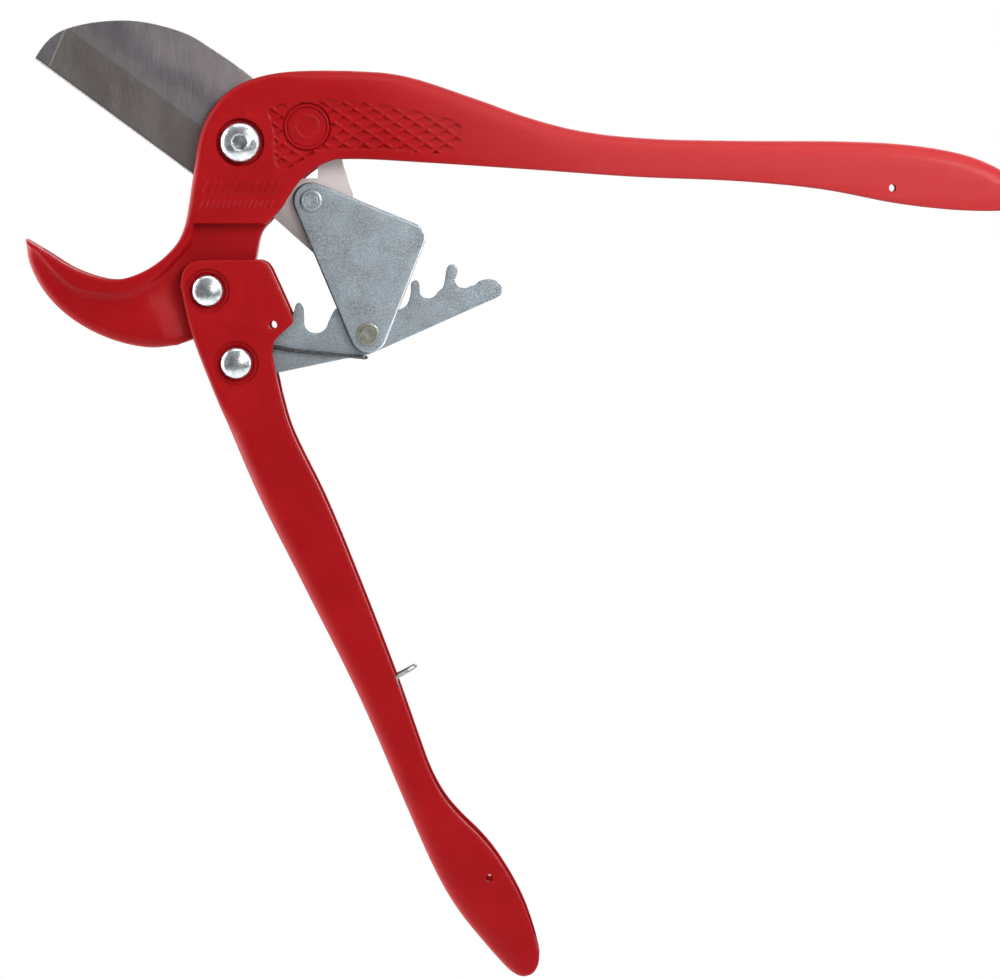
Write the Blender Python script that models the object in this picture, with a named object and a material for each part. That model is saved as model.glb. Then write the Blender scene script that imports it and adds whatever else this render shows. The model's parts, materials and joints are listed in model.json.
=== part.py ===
"""Ratchet pipe cutter for plastic pipe, one solid for each separate piece.

The tool stands upright in the XZ plane with its front towards -Y. Shapes are laid out in
millimetres from the main pivot, +X towards the grips and +Z up, and are placed so that the
hand-hold of the upper grip is the origin.
"""

from math import asin, atan2, cos, degrees, radians, sin

import bmesh
import bpy
from mathutils import Matrix, Vector

MM = 0.001

# Place of the upper hand-hold, seen from the main pivot.
HAND_HOLD = (270.0, -11.0)

# Joint centres.
MAIN_PIVOT = (0.0, 0.0)
HANDLE_PIVOT = (-14.8, -66.3)
RACK_PIVOT = (-2.0, -98.8)
LINK_PIVOT = (31.3, -25.9)
NOTCH_PIN = (56.8, -85.8)
BAIL_PIVOT = (91.2, -314.4)

# Fits. A through cut reaches well past every face.
GAP = 0.3
THROUGH = 30.0

# Half thicknesses, measured from the middle plane.
BLADE_HALF = 2.0
RACK_HALF = 2.0
HEAD_HALF = 10.5
HOOK_HALF = 9.0
TONGUE_HALF = 6.0
HEAD_SLOT_HALF = 3.4
HOOK_SLOT_HALF = 2.7
UPPER_CHANNEL_HALF = 6.8
LOWER_CHANNEL_HALF = 7.4
LOWER_HALF = 11.4
LINK_INNER = 2.3
LINK_OUTER = 4.8

# Walls and reliefs.
WEB = 3.5
CAST_EDGE = 2.0
PANEL_DEPTH = 0.8
SPOT_FACE_DEPTH = 0.6
BOLT_SEAT_DEPTH = 1.0

# Fasteners.
BOLT_SHANK = 5.0
BOLT_HEAD = 9.25
BOLT_HEAD_HEIGHT = 5.0
BOLT_SEAT = 10.8
BOLT_SOCKET = 3.4
BOLT_SOCKET_DEPTH = 3.2
BOLT_PAST_NUT = 1.6
BUSH_RADIUS = 7.0
NUT_RADIUS = 9.8
NUT_HEIGHT = 7.0
RIVET_SHANK = 5.0
RIVET_HEAD = 7.0
RIVET_HEAD_HEIGHT = 3.4
HEAD_RIM = 0.6
FLUSH_HEAD_HEIGHT = 0.7
CHAMFER = 0.3
SPOT_FACE = 9.9
LINK_RIVET_SHANK = 3.5
LINK_RIVET_HEAD = 4.8
NOTCH_PIN_SHANK = 3.5
NOTCH_PIN_HEAD = 5.1
WASHER_THICKNESS = 0.8
BLADE_WASHER_RADIUS = 13.0
HANDLE_WASHER_RADIUS = 11.0
SPACER_RADIUS = 6.0

# Lock bail and its peg.
BAIL_WIRE = 1.0
BAIL_ARM = 76.5
BAIL_ARM_HALF = 5.4
BAIL_TIP_HALF = 3.2
BAIL_TIP_REACH = 9.5
BAIL_TIP_ANGLE = 30.3
BAIL_FOOT_DEPTH = 2.4
BAIL_ANGLE = 107.6
PEG_CENTRE = (259.0, -15.6)
PEG_RADIUS = 2.0
PEG_SOCKET = 2.5

# Rack spring.
SPRING_WIRE = 0.9
SPRING_RADIUS = 7.4
SPRING_LEG_ANGLE = 90.0
SPRING_TAIL_ANGLE = 600.0
SPRING_TAIL_LENGTH = 14.0
SPRING_STEP = 25.0

# Blade geometry: the cutting edge is a straight line at a distance from the main pivot.
CLOSING_ANGLE = 70.0
SLOT_CLEARANCE = 1.5
SLOT_NECK_END = 17.5
EDGE_LINE_ANGLE = 143.7
EDGE_OFFSET = 24.75
BLADE_REACH = 100.5
BLADE_TIP_ANGLE = 158.0


# ---------------------------------------------------------------- outlines


def polar(centre, radius, angle):
    """The point at an angle in degrees on a circle."""
    return (centre[0] + radius * cos(radians(angle)), centre[1] + radius * sin(radians(angle)))


def arc(centre, radius, start, end, count):
    """Points along a circle from one angle to another, in degrees."""
    step = (end - start) / (count - 1)
    return [polar(centre, radius, start + step * i) for i in range(count)]


def circle(centre, radius, count=24):
    """Points all round a circle."""
    return [polar(centre, radius, 360 * i / count) for i in range(count)]


def smooth(points, steps=4):
    """A Catmull-Rom curve through the points, with its ends held."""
    vectors = [Vector(p) for p in points]
    padded = [2 * vectors[0] - vectors[1]] + vectors + [2 * vectors[-1] - vectors[-2]]
    curve = []
    for a, b, c, d in zip(padded, padded[1:], padded[2:], padded[3:]):
        for i in range(steps):
            t = i / steps
            point = 0.5 * (2 * b + (c - a) * t + (2 * a - 5 * b + 4 * c - d) * t * t
                           + (3 * b - a - 3 * c + d) * t * t * t)
            curve.append(tuple(point))
    curve.append(tuple(vectors[-1]))
    return curve


def shifted(points, distance):
    """An open run of points moved sideways, to the right of its direction."""
    moved = []
    for i, point in enumerate(points):
        before = Vector(points[max(i - 1, 0)])
        after = Vector(points[min(i + 1, len(points) - 1)])
        along = (after - before).normalized()
        moved.append((point[0] + along.y * distance, point[1] - along.x * distance))
    return moved


def round_hull(circles, count=9):
    """The outline round a ring of circles, listed anticlockwise as (centre, radius)."""
    total = len(circles)
    normals = []
    for i in range(total):
        (start, r0), (end, r1) = circles[i], circles[(i + 1) % total]
        run = Vector(end) - Vector(start)
        lean = (r0 - r1) / run.length
        normals.append(degrees(atan2(run.y, run.x)) - 90 + degrees(asin(lean)))
    outline = []
    for i, (centre, radius) in enumerate(circles):
        first = normals[i - 1]
        last = normals[i]
        while last < first:
            last += 360
        outline += arc(centre, radius, first, last, count)
    return outline


# ---------------------------------------------------------------- solids


def material(name, colour, roughness, metallic):
    """A plain surface with one colour."""
    surface = bpy.data.materials.new(name)
    surface.use_nodes = True
    shader = surface.node_tree.nodes["Principled BSDF"]
    shader.inputs["Base Color"].default_value = (*colour, 1.0)
    shader.inputs["Roughness"].default_value = roughness
    shader.inputs["Metallic"].default_value = metallic
    return surface


def mesh_from(name, bm):
    """The finished mesh of a bmesh."""
    mesh = bpy.data.meshes.new(name)
    bm.to_mesh(mesh)
    bm.free()
    return mesh


def placed(name, mesh, surface, pivot):
    """An object on its joint's axis, from a mesh in millimetres about the main pivot."""
    offset = Matrix.Translation((-pivot[0], 0, -pivot[1]))
    mesh.transform(Matrix.Scale(MM, 4) @ offset)
    piece = bpy.data.objects.new(name, mesh)
    bpy.context.collection.objects.link(piece)
    piece.location = ((pivot[0] - HAND_HOLD[0]) * MM, 0, (pivot[1] - HAND_HOLD[1]) * MM)
    if surface:
        mesh.materials.append(surface)
    return piece


def prism(name, outline, near, far, surface, pivot=MAIN_PIVOT):
    """A flat piece with an outline, between two depths."""
    bm = bmesh.new()
    front = bm.faces.new([bm.verts.new((x, near, z)) for x, z in outline])
    grown = bmesh.ops.extrude_face_region(bm, geom=[front])
    moved = [v for v in grown["geom"] if isinstance(v, bmesh.types.BMVert)]
    bmesh.ops.translate(bm, verts=moved, vec=(0, far - near, 0))
    bmesh.ops.recalc_face_normals(bm, faces=bm.faces)
    return placed(name, mesh_from(name, bm), surface, pivot)


def turned(name, profile, centre, surface, count=24):
    """A round piece on an axis along Y, from (radius, depth) pairs, shaded smooth."""
    bm = bmesh.new()
    rings = []
    for radius, depth in profile:
        if radius == 0:
            rings.append([bm.verts.new((centre[0], depth, centre[1]))])
            continue
        rings.append([bm.verts.new((x, depth, z)) for x, z in circle(centre, radius, count)])
    for low, high in zip(rings, rings[1:]):
        for i in range(count):
            corners = [low[i % len(low)], low[(i + 1) % len(low)],
                       high[(i + 1) % len(high)], high[i % len(high)]]
            bm.faces.new(list(dict.fromkeys(corners)))
    bmesh.ops.recalc_face_normals(bm, faces=bm.faces)
    mesh = mesh_from(name, bm)
    piece = placed(name, mesh, surface, centre)
    mesh.shade_smooth()
    mesh.set_sharp_from_angle(angle=radians(40))
    return piece


def ring(name, centre, inner, outer, near, far, surface):
    """A washer or a sleeve."""
    bm = bmesh.new()
    loops = []
    for radius, depth in ((inner, near), (outer, near), (outer, far), (inner, far)):
        loops.append([bm.verts.new((x, depth, z)) for x, z in circle(centre, radius)])
    for low, high in zip(loops, loops[1:] + loops[:1]):
        for i in range(len(low)):
            following = (i + 1) % len(low)
            bm.faces.new((low[i], low[following], high[following], high[i]))
    bmesh.ops.recalc_face_normals(bm, faces=bm.faces)
    return placed(name, mesh_from(name, bm), surface, centre)


def wire(name, points, radius, surface, pivot):
    """A bent round wire with closed ends."""
    curve = bpy.data.curves.new(name, "CURVE")
    curve.dimensions = "3D"
    curve.bevel_depth = radius * MM
    curve.bevel_resolution = 2
    curve.use_fill_caps = True
    spline = curve.splines.new("POLY")
    spline.points.add(len(points) - 1)
    for target, (x, y, z) in zip(spline.points, points):
        target.co = ((x - pivot[0]) * MM, y * MM, (z - pivot[1]) * MM, 1)
    piece = bpy.data.objects.new(name, curve)
    bpy.context.collection.objects.link(piece)
    piece.location = ((pivot[0] - HAND_HOLD[0]) * MM, 0, (pivot[1] - HAND_HOLD[1]) * MM)
    curve.materials.append(surface)
    return piece


def hidden(tool):
    """Marks a piece as a cutter."""
    tool.hide_render = True
    tool.display_type = "WIRE"
    return tool


def cutter(name, outline, near, far):
    """A hidden prism that is taken away from another piece."""
    return hidden(prism(name, outline, near, far, None))


def cut(piece, *tools):
    """Takes each tool away from a piece."""
    for tool in tools:
        boolean = piece.modifiers.new(tool.name, "BOOLEAN")
        boolean.operation = "DIFFERENCE"
        boolean.solver = "EXACT"
        boolean.object = tool


def both_faces(name, outline, depth):
    """Two cutters that take everything outside a half thickness, front and back."""
    return (cutter(name + "_front_cut", outline, -THROUGH, -depth),
            cutter(name + "_rear_cut", outline, depth, THROUGH))


def hole(name, centre, radius):
    """A cutter for a hole right through."""
    return cutter(name, circle(centre, radius), -THROUGH, THROUGH)


def round_edges(piece, width):
    """Rounds the rim of a casting with two facets."""
    bevel = piece.modifiers.new("rim", "BEVEL")
    bevel.width = width * MM
    bevel.segments = 2
    bevel.limit_method = "ANGLE"
    bevel.angle_limit = radians(60)


# ---------------------------------------------------------------- upper casting

HOOK_TIP = (-97.0, -43.2)
HEAD_FOOT = -36.2

HOOK_INNER = [HOOK_TIP, (-86.5, -49.6), (-74.0, -57.0), (-58.0, -61.4), (-44.0, -57.8),
              (-32.0, -49.0), (-25.4, -38.0), (-21.4, -15.0), (-17.6, 5.5), (-8.5, 20.2),
              (5.5, 28.4), (25.0, 31.9), (53.7, 31.9)]
UPPER_BACK = [(53.7, 31.9), (75.3, 29.3), (104.0, 20.0), (130.0, 10.8), (155.0, 4.7),
              (185.0, 1.7), (225.0, 0.8), (270.0, 0.5), (300.0, -1.2), (324.0, -5.5),
              (340.0, -12.2), (347.0, -18.6), (348.4, -22.6)]
UPPER_INNER = [(348.4, -22.6), (347.6, -26.4), (344.0, -29.4), (337.0, -30.6),
               (318.0, -30.0), (293.0, -27.0), (260.0, -20.8), (222.0, -17.2),
               (176.6, -15.3), (130.7, -12.1), (84.0, -9.0), (52.0, -7.3), (39.0, -8.7),
               (27.0, -16.7), (18.5, -28.8), (12.5, -35.6), (8.6, -41.0), (6.4, -51.9)]
HOOK_OUTER = [(-29.2, -90.9), (-42.0, -91.9), (-56.3, -89.1), (-70.0, -83.2), (-81.5, -75.0),
              (-90.0, -65.2), (-95.5, -54.0), HOOK_TIP]
LIP_FOOT = [(-20.8, HEAD_FOOT), (-24.4, -46.7), (-39.0, -61.0), (-53.0, -67.6), (-70.8, -66.5),
            (-81.0, -60.2), (-92.4, -47.4)]
PANEL = [(12.0, 14.2), (17.0, 17.0), (45.0, 19.0), (75.0, 14.7), (95.9, 9.5), (99.2, 3.5),
         (94.0, -5.0), (58.0, -3.0), (37.0, -4.0), (20.2, -12.0), (15.6, -9.0), (14.6, 5.0)]
HEAD_SLOT = [(-60.0, 60.0), (60.0, 60.0), (60.0, -60.0), (32.0, -52.0), (9.0, -31.5),
             (0.0, -31.5), (-16.0, -41.5)]
TONGUE_END_RADIUS = 22.5
NECK_POCKET_RADIUS = 18.5
HANG_HOLE_UPPER = (291.6, -20.3)
HANG_HOLE_RADIUS = 1.75
ROOF_START = 58.0
HEAD_ROOF = [(20.0, 28.6), (26.0, 29.2), (53.0, 29.2)]
LINK_ROOM_RADIUS = 30.5


def upper_outline():
    """The whole outline of the upper casting, clockwise from the hook's tip."""
    return (smooth(HOOK_INNER, 3)[:-1] + smooth(UPPER_BACK, 3)[:-1] + smooth(UPPER_INNER, 3)
            + arc(HANDLE_PIVOT, TONGUE_END_RADIUS, 18, -106, 9) + smooth(HOOK_OUTER, 3)[:-1])


def blade_slot_outline():
    """What the blade sweeps from fully open to fully closed, with clearance."""
    offset = EDGE_OFFSET + SLOT_CLEARANCE
    reach = BLADE_REACH + SLOT_CLEARANCE
    closed = EDGE_LINE_ANGLE + CLOSING_ANGLE
    foot = polar(MAIN_PIVOT, offset, closed + 90)
    tip = polar(foot, (reach * reach - offset * offset) ** 0.5, closed)
    neck_end = polar(foot, SLOT_NECK_END, closed)
    swing = arc(MAIN_PIVOT, reach, BLADE_TIP_ANGLE + CLOSING_ANGLE, 196, 7)
    return [neck_end, tip] + swing[1:] + [(-60.0, 50.0), (60.0, 60.0), (60.0, -60.0),
                                          (32.0, -52.0), (9.0, -31.5)]


def upper_channel_outline():
    """The hollow of the upper casting, open below, with a thin roof over the link."""
    roof = [p for p in shifted(smooth(UPPER_BACK, 3), WEB) if p[0] > ROOF_START]
    room = arc(MAIN_PIVOT, LINK_ROOM_RADIUS, -52, 62, 10)
    return room + HEAD_ROOF + roof + [(341.0, -45.0), (26.0, -45.0)]


def neck_pocket_outline():
    """The recessed neck and tongue, where the fork of the lower handle turns."""
    edge = arc(HANDLE_PIVOT, NECK_POCKET_RADIUS, 128, 205, 8)
    return ([(-20.8, HEAD_FOOT), (-24.0, -46.5)] + edge
            + [(-27.5, -86.0), (-24.0, -100.0), (30.0, -100.0), (30.0, HEAD_FOOT)])


def hook_face_outline():
    """The flank of the hook, below its lip."""
    return (smooth(LIP_FOOT, 3) + [(-99.0, -42.0), (-110.0, -50.0), (-110.0, -100.0),
                                   (0.0, -100.0), (0.0, HEAD_FOOT)])


def frame_casting(surface):
    """Head, hook, neck and upper handle in one casting."""
    piece = prism("frame_casting", upper_outline(), -HEAD_HALF, HEAD_HALF, surface)
    round_edges(piece, CAST_EDGE)
    cut(piece, *both_faces("neck", neck_pocket_outline(), TONGUE_HALF))
    cut(piece, *both_faces("hook_flank", hook_face_outline(), HOOK_HALF))
    cut(piece, cutter("blade_slot_cut", blade_slot_outline(), -HOOK_SLOT_HALF, HOOK_SLOT_HALF))
    cut(piece, cutter("head_slot_cut", HEAD_SLOT, -HEAD_SLOT_HALF, HEAD_SLOT_HALF))
    channel = UPPER_CHANNEL_HALF
    cut(piece, cutter("upper_channel_cut", upper_channel_outline(), -channel, channel))
    seat = HEAD_HALF - BOLT_SEAT_DEPTH
    cut(piece, *both_faces("bolt_seat", circle(MAIN_PIVOT, BOLT_SEAT, 32), seat))
    cut(piece, *both_faces("panel", smooth(PANEL + PANEL[:1], 2)[:-1], HEAD_HALF - PANEL_DEPTH))
    cut(piece, hole("bolt_hole", MAIN_PIVOT, BOLT_SHANK + GAP))
    cut(piece, hole("tongue_hole", HANDLE_PIVOT, RIVET_SHANK + GAP))
    cut(piece, hole("upper_hang_hole", HANG_HOLE_UPPER, HANG_HOLE_RADIUS))
    socket_depth = channel + PEG_SOCKET
    cut(piece, cutter("peg_socket", circle(PEG_CENTRE, PEG_RADIUS + GAP, 16),
                      -socket_depth, socket_depth))
    return piece


# ---------------------------------------------------------------- blade and link

BLADE_SPINE = [(-93.2, 37.6), (-90.0, 42.6), (-85.6, 47.2), (-79.2, 50.8), (-67.9, 53.6),
               (-55.0, 54.7), (-43.8, 54.0), (-31.7, 51.2), (-22.1, 47.6), (-13.2, 42.0),
               (-3.6, 35.6), (5.3, 28.9), (16.0, 20.0), (26.0, 8.0)]
BLADE_HORN = [(27.4, -11.0), (27.4, -16.0), (34.3, -16.0), (34.3, -3.9), (44.0, -3.9),
              (45.6, -9.9), (50.4, -23.6), (45.0, -31.0), (39.5, -40.0), (36.2, -50.2),
              (35.2, -52.3)]
BLADE_TAIL_EDGE = [(34.1, -51.2), (15.2, -34.3), (8.0, -28.0), (-2.0, -23.6)]
BEVEL_START = 3.0
BEVEL_END = 140.0
BEVEL_WIDTH = 20.0
WEDGE_MARGIN = 5.0
WEDGE_HALF = 12.0
EDGE_HALF = 0.2
BLADE_BORE = 7.3


def bevelled_blade(surface):
    """The blade blank with its two ground flats down to the straight edge."""
    foot = polar(MAIN_PIVOT, EDGE_OFFSET, EDGE_LINE_ANGLE + 90)
    outline = smooth(BLADE_SPINE, 2) + BLADE_HORN + BLADE_TAIL_EDGE + [foot]
    piece = prism("blade", outline, -BLADE_HALF, BLADE_HALF, surface)
    cut(piece, hole("blade_bore", MAIN_PIVOT, BLADE_BORE))
    cut(piece, hole("blade_link_hole", LINK_PIVOT, LINK_RIVET_SHANK + GAP))
    cut(piece, *grinding_wedges())
    return piece


def grinding_wedges():
    """Two long wedges that take the blank down to a thin edge, front and back."""
    along = radians(EDGE_LINE_ANGLE)
    run = Vector((cos(along), 0, sin(along)))
    inward = Vector((sin(along), 0, -cos(along)))
    foot = Vector((*polar(MAIN_PIVOT, EDGE_OFFSET, EDGE_LINE_ANGLE + 90), 0)).xzy
    margin = (BLADE_HALF - EDGE_HALF) * WEDGE_MARGIN / BEVEL_WIDTH
    section = ((-WEDGE_MARGIN, EDGE_HALF - margin),
               (BEVEL_WIDTH + WEDGE_MARGIN, BLADE_HALF + margin), (-WEDGE_MARGIN, WEDGE_HALF))
    tools = []
    for side, name in ((-1, "front"), (1, "rear")):
        bm = bmesh.new()
        corners = []
        for reach in (BEVEL_START, BEVEL_END):
            base = foot + run * reach
            for inset, half in section:
                spot = base + inward * inset
                corners.append(bm.verts.new((spot.x, side * half, spot.z)))
        near, far = corners[:3], corners[3:]
        bm.faces.new(near)
        bm.faces.new(far)
        for i in range(3):
            following = (i + 1) % 3
            bm.faces.new((near[i], near[following], far[following], far[i]))
        bmesh.ops.recalc_face_normals(bm, faces=bm.faces)
        mesh = mesh_from("grind_" + name, bm)
        tools.append(hidden(placed("grind_" + name, mesh, None, MAIN_PIVOT)))
    return tools


LINK_EYE = 8.2
LINK_FOOT = 8.5
LINK_CORNER = (76.7, -42.1)
LINK_CORNER_RADIUS = 6.0
LINK_WEB_START = 54.5
LINK_WEB_PAST = 2.0


def link_outline():
    """The rounded triangle of the link."""
    return round_hull([(LINK_PIVOT, LINK_EYE), (NOTCH_PIN, LINK_FOOT),
                       (LINK_CORNER, LINK_CORNER_RADIUS)])


def link_yoke(surface):
    """Two plates folded from one sheet, joined by a narrow web along the long upper edge."""
    piece = prism("link_yoke", link_outline(), -LINK_OUTER, LINK_OUTER, surface, LINK_PIVOT)
    edge = Vector(LINK_CORNER) - Vector(LINK_PIVOT)
    normal = Vector((-edge.y, edge.x)).normalized()
    inner = LINK_CORNER_RADIUS - LINK_OUTER + LINK_INNER
    first = Vector(LINK_CORNER) + normal * inner + edge.normalized() * LINK_WEB_PAST
    share = (first.x - LINK_WEB_START) / edge.normalized().x
    last = first - edge.normalized() * share
    gap = [tuple(first), tuple(last), (LINK_WEB_START, 20.0), (0.0, 20.0), (0.0, -120.0),
           (110.0, -120.0), (110.0, -45.0)]
    cut(piece, cutter("link_gap", gap, -LINK_INNER, LINK_INNER))
    cut(piece, hole("link_eye", LINK_PIVOT, LINK_RIVET_SHANK + GAP))
    cut(piece, hole("link_pin_hole", NOTCH_PIN, NOTCH_PIN_SHANK + GAP))
    return piece


def flush_rivet(name, centre, shank, head, surface):
    """A pin with two thin flat heads outside the link plates."""
    under = LINK_OUTER + GAP
    top = under + FLUSH_HEAD_HEIGHT
    half = [(shank, under), (head, under), (head, top - CHAMFER), (head - CHAMFER, top), (0, top)]
    profile = [(r, -d) for r, d in reversed(half)] + half
    return turned(name, profile, centre, surface)


# ---------------------------------------------------------------- rack

RACK_TAIL_RADIUS = 8.1
RACK_TOP = [(14.0, -88.0), (20.0, -82.5), (23.2, -76.0), (24.2, -72.8), (25.6, -71.8),
            (27.2, -72.6), (28.0, -75.0), (28.2, -81.0)]
RACK_FIRST_SHOULDER = [(38.6, -81.0), (41.2, -75.7), (43.3, -74.1), (50.0, -73.4),
                       (51.8, -74.0), (52.6, -75.6), (52.7, -86.6)]
RACK_SECOND_SHOULDER = [(64.0, -85.6), (66.4, -79.5), (70.0, -75.4), (74.0, -73.0),
                        (75.8, -68.0), (76.0, -63.6), (77.0, -62.0), (78.8, -61.8),
                        (80.0, -63.2), (80.2, -66.4)]
RACK_THIRD_SHOULDER = [(88.2, -66.8), (90.4, -64.8), (91.4, -60.6), (92.0, -56.6),
                       (93.6, -54.8), (95.6, -54.8), (97.1, -56.4), (97.0, -58.6),
                       (95.8, -61.4)]
RACK_NOSE = [(104.6, -64.0), (107.0, -62.0), (110.6, -61.2), (114.6, -62.0), (117.0, -64.6),
             (116.6, -68.0), (114.0, -69.8), (102.9, -74.7), (62.7, -92.7), (57.0, -95.0),
             (46.2, -97.0)]


def rack_outline():
    """The notched plate, clockwise from the top of its round tail."""
    tail = arc(RACK_PIVOT, RACK_TAIL_RADIUS, -78, -275, 9)
    first_notch = arc((33.4, -80.2), 5.3, 190, 350, 7)
    second_notch = arc((58.3, -85.0), 5.7, 190, 352, 7)
    third_notch = arc((84.1, -65.7), 4.1, 190, 340, 6)
    fourth_notch = arc((100.2, -61.0), 4.2, 190, 312, 5)
    return (RACK_TOP + first_notch + RACK_FIRST_SHOULDER + second_notch + RACK_SECOND_SHOULDER
            + third_notch + RACK_THIRD_SHOULDER + fourth_notch + RACK_NOSE + tail)


def rack(surface):
    """The notched plate that steps the blade closed."""
    piece = prism("rack", rack_outline(), -RACK_HALF, RACK_HALF, surface, RACK_PIVOT)
    cut(piece, hole("rack_bore", RACK_PIVOT, RIVET_SHANK + GAP))
    return piece


def rack_spring(surface):
    """A torsion spring round the front spacer, one leg along the rack and hooked under it."""
    front = RACK_HALF + GAP + SPRING_WIRE
    pitch = 2 * SPRING_WIRE + GAP
    leg = [(55.6, 2.4, -96.5), (55.6, -1.2, -96.5), (55.0, -2.7, -96.4), (53.2, -front, -96.2),
           (40.0, -front, -94.9), (21.9, -front, -93.0), (14.9, -front, -91.7),
           (7.0, -front, -91.3)]
    turn = SPRING_TAIL_ANGLE - SPRING_LEG_ANGLE
    count = round(turn / SPRING_STEP)
    coil = []
    for i in range(count + 1):
        angle = SPRING_LEG_ANGLE + turn * i / count
        x, z = polar(RACK_PIVOT, SPRING_RADIUS, angle)
        coil.append((x, -front - pitch * turn * i / count / 360, z))
    depth = coil[-1][1]
    end = polar(RACK_PIVOT, SPRING_RADIUS, SPRING_TAIL_ANGLE)
    x, z = polar(end, SPRING_TAIL_LENGTH, SPRING_TAIL_ANGLE + 90)
    return wire("rack_spring", leg + coil + [(x, depth, z)], SPRING_WIRE, surface, RACK_PIVOT)


# ---------------------------------------------------------------- lower handle

FORK_TOP = [(-27.4, -63.8), (-25.8, -57.2), (-21.3, -53.2), (-14.0, -52.5)]
FORK_CORNER = [(8.4, -52.5), (11.4, -53.8), (13.4, -56.4)]
FORK_HEEL = [(23.1, -77.9), (23.3, -80.2), (21.9, -82.2), (17.7, -85.8), (14.8, -89.4),
             (14.2, -94.4)]
LOWER_INNER = [(15.5, -103.0), (18.7, -117.0), (23.6, -131.7), (38.2, -161.9), (54.8, -202.9),
               (68.9, -239.7), (79.2, -269.0), (83.3, -280.4), (87.4, -289.2), (92.4, -297.0),
               (98.8, -304.2), (106.2, -311.4), (113.0, -319.4), (120.2, -330.4),
               (126.2, -342.0), (130.8, -354.6), (133.6, -365.8), (133.4, -370.4),
               (131.2, -374.2), (128.2, -375.8), (126.1, -376.1)]
LOWER_OUTER = [(126.1, -376.1), (123.6, -375.5), (119.5, -372.8), (110.7, -363.2),
               (97.2, -346.4), (87.0, -328.9), (75.0, -302.0), (53.0, -250.5), (27.5, -199.0),
               (8.0, -160.0), (-7.4, -123.8), (-21.8, -87.2), (-27.4, -63.8)]
FORK_ROOT = -95.0
HANG_HOLE_LOWER = (111.4, -330.9)
FORK_EYE = (14.4, -81.6)
FORK_EYE_RADIUS = 1.9


def lower_outline():
    """The whole outline of the lower handle, clockwise from its top left."""
    return (smooth(FORK_TOP, 3) + smooth(FORK_CORNER, 2) + FORK_HEEL
            + smooth(LOWER_INNER, 3)[:-1] + smooth(LOWER_OUTER, 3)[:-1])


def lower_channel_outline():
    """The hollow of the lower handle: a through fork at its head, then open on one side."""
    web = shifted(smooth(LOWER_OUTER, 3), WEB)
    inside = [p for p in web if -370.0 < p[1] < FORK_ROOT - 2]
    return ([(128.0, -370.0), (130.0, -360.0), (152.0, -350.0), (150.0, -340.0),
             (112.0, -290.0), (100.0, -240.0), (60.0, -140.0), (45.0, -40.0), (-45.0, -40.0),
             (-45.0, FORK_ROOT), (-15.2, FORK_ROOT)] + inside[::-1])


def lower_handle(surface):
    """The moving handle, a channel with two fork cheeks round the neck."""
    piece = prism("lower_handle", lower_outline(), -LOWER_HALF, LOWER_HALF, surface, HANDLE_PIVOT)
    round_edges(piece, CAST_EDGE)
    channel = LOWER_CHANNEL_HALF
    cut(piece, cutter("lower_channel_cut", lower_channel_outline(), -channel, channel))
    floor = LOWER_HALF - SPOT_FACE_DEPTH
    for name, centre in (("handle_spot", HANDLE_PIVOT), ("rack_spot", RACK_PIVOT)):
        cut(piece, *both_faces(name, circle(centre, SPOT_FACE, 32), floor))
        cut(piece, hole(name + "_hole", centre, RIVET_SHANK + GAP))
    cut(piece, hole("fork_eye", FORK_EYE, FORK_EYE_RADIUS))
    cut(piece, hole("lower_hang_hole", HANG_HOLE_LOWER, HANG_HOLE_RADIUS))
    socket_depth = channel + BAIL_FOOT_DEPTH + GAP
    cut(piece, cutter("bail_socket", circle(BAIL_PIVOT, BAIL_WIRE + GAP, 12),
                      -socket_depth, socket_depth))
    return piece


def lock_bail(surface):
    """The wire bail that holds the handles shut, lying in the channel with its tip out."""
    end = polar(BAIL_PIVOT, BAIL_ARM, BAIL_ANGLE)
    arm = ((0.0, LOWER_CHANNEL_HALF + BAIL_FOOT_DEPTH), (0.0, BAIL_ARM_HALF + 1.6),
           (2.5, BAIL_ARM_HALF), (40.0, BAIL_ARM_HALF), (BAIL_ARM - 2.0, BAIL_ARM_HALF - 0.6))
    tip = ((2.0, BAIL_ARM_HALF - 0.9), (BAIL_TIP_REACH, BAIL_TIP_HALF))
    side = [(*polar(BAIL_PIVOT, reach, BAIL_ANGLE), half) for reach, half in arm]
    side += [(*polar(end, reach, BAIL_TIP_ANGLE), half) for reach, half in tip]
    crown_x, crown_z = polar(end, BAIL_TIP_REACH + 1.6, BAIL_TIP_ANGLE)
    path = [(x, -y, z) for x, z, y in side] + [(crown_x, 0.0, crown_z)]
    path += [(x, y, z) for x, z, y in reversed(side)]
    return wire("lock_bail", path, BAIL_WIRE, surface, BAIL_PIVOT)


# ---------------------------------------------------------------- fasteners


def dome(radius, base, height, steps=5):
    """Profile of a domed head from its rim to its crown, away from the middle plane."""
    ball = (radius * radius + height * height) / (2 * height)
    centre = base + height - ball
    full = degrees(asin(radius / ball))
    profile = []
    for i in range(steps + 1):
        angle = radians(full * (1 - i / steps))
        profile.append((ball * sin(angle), centre + ball * cos(angle)))
    profile[-1] = (0, base + height)
    return profile


def domed_rivet(name, centre, surface):
    """A rivet through the fork with a domed head on each side."""
    under = LOWER_HALF - SPOT_FACE_DEPTH + GAP
    top = dome(RIVET_HEAD, under + HEAD_RIM, RIVET_HEAD_HEIGHT - HEAD_RIM)
    half = [(RIVET_SHANK, under), (RIVET_HEAD, under)] + top
    profile = [(r, -d) for r, d in reversed(half)] + half
    return turned(name, profile, centre, surface)


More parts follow.
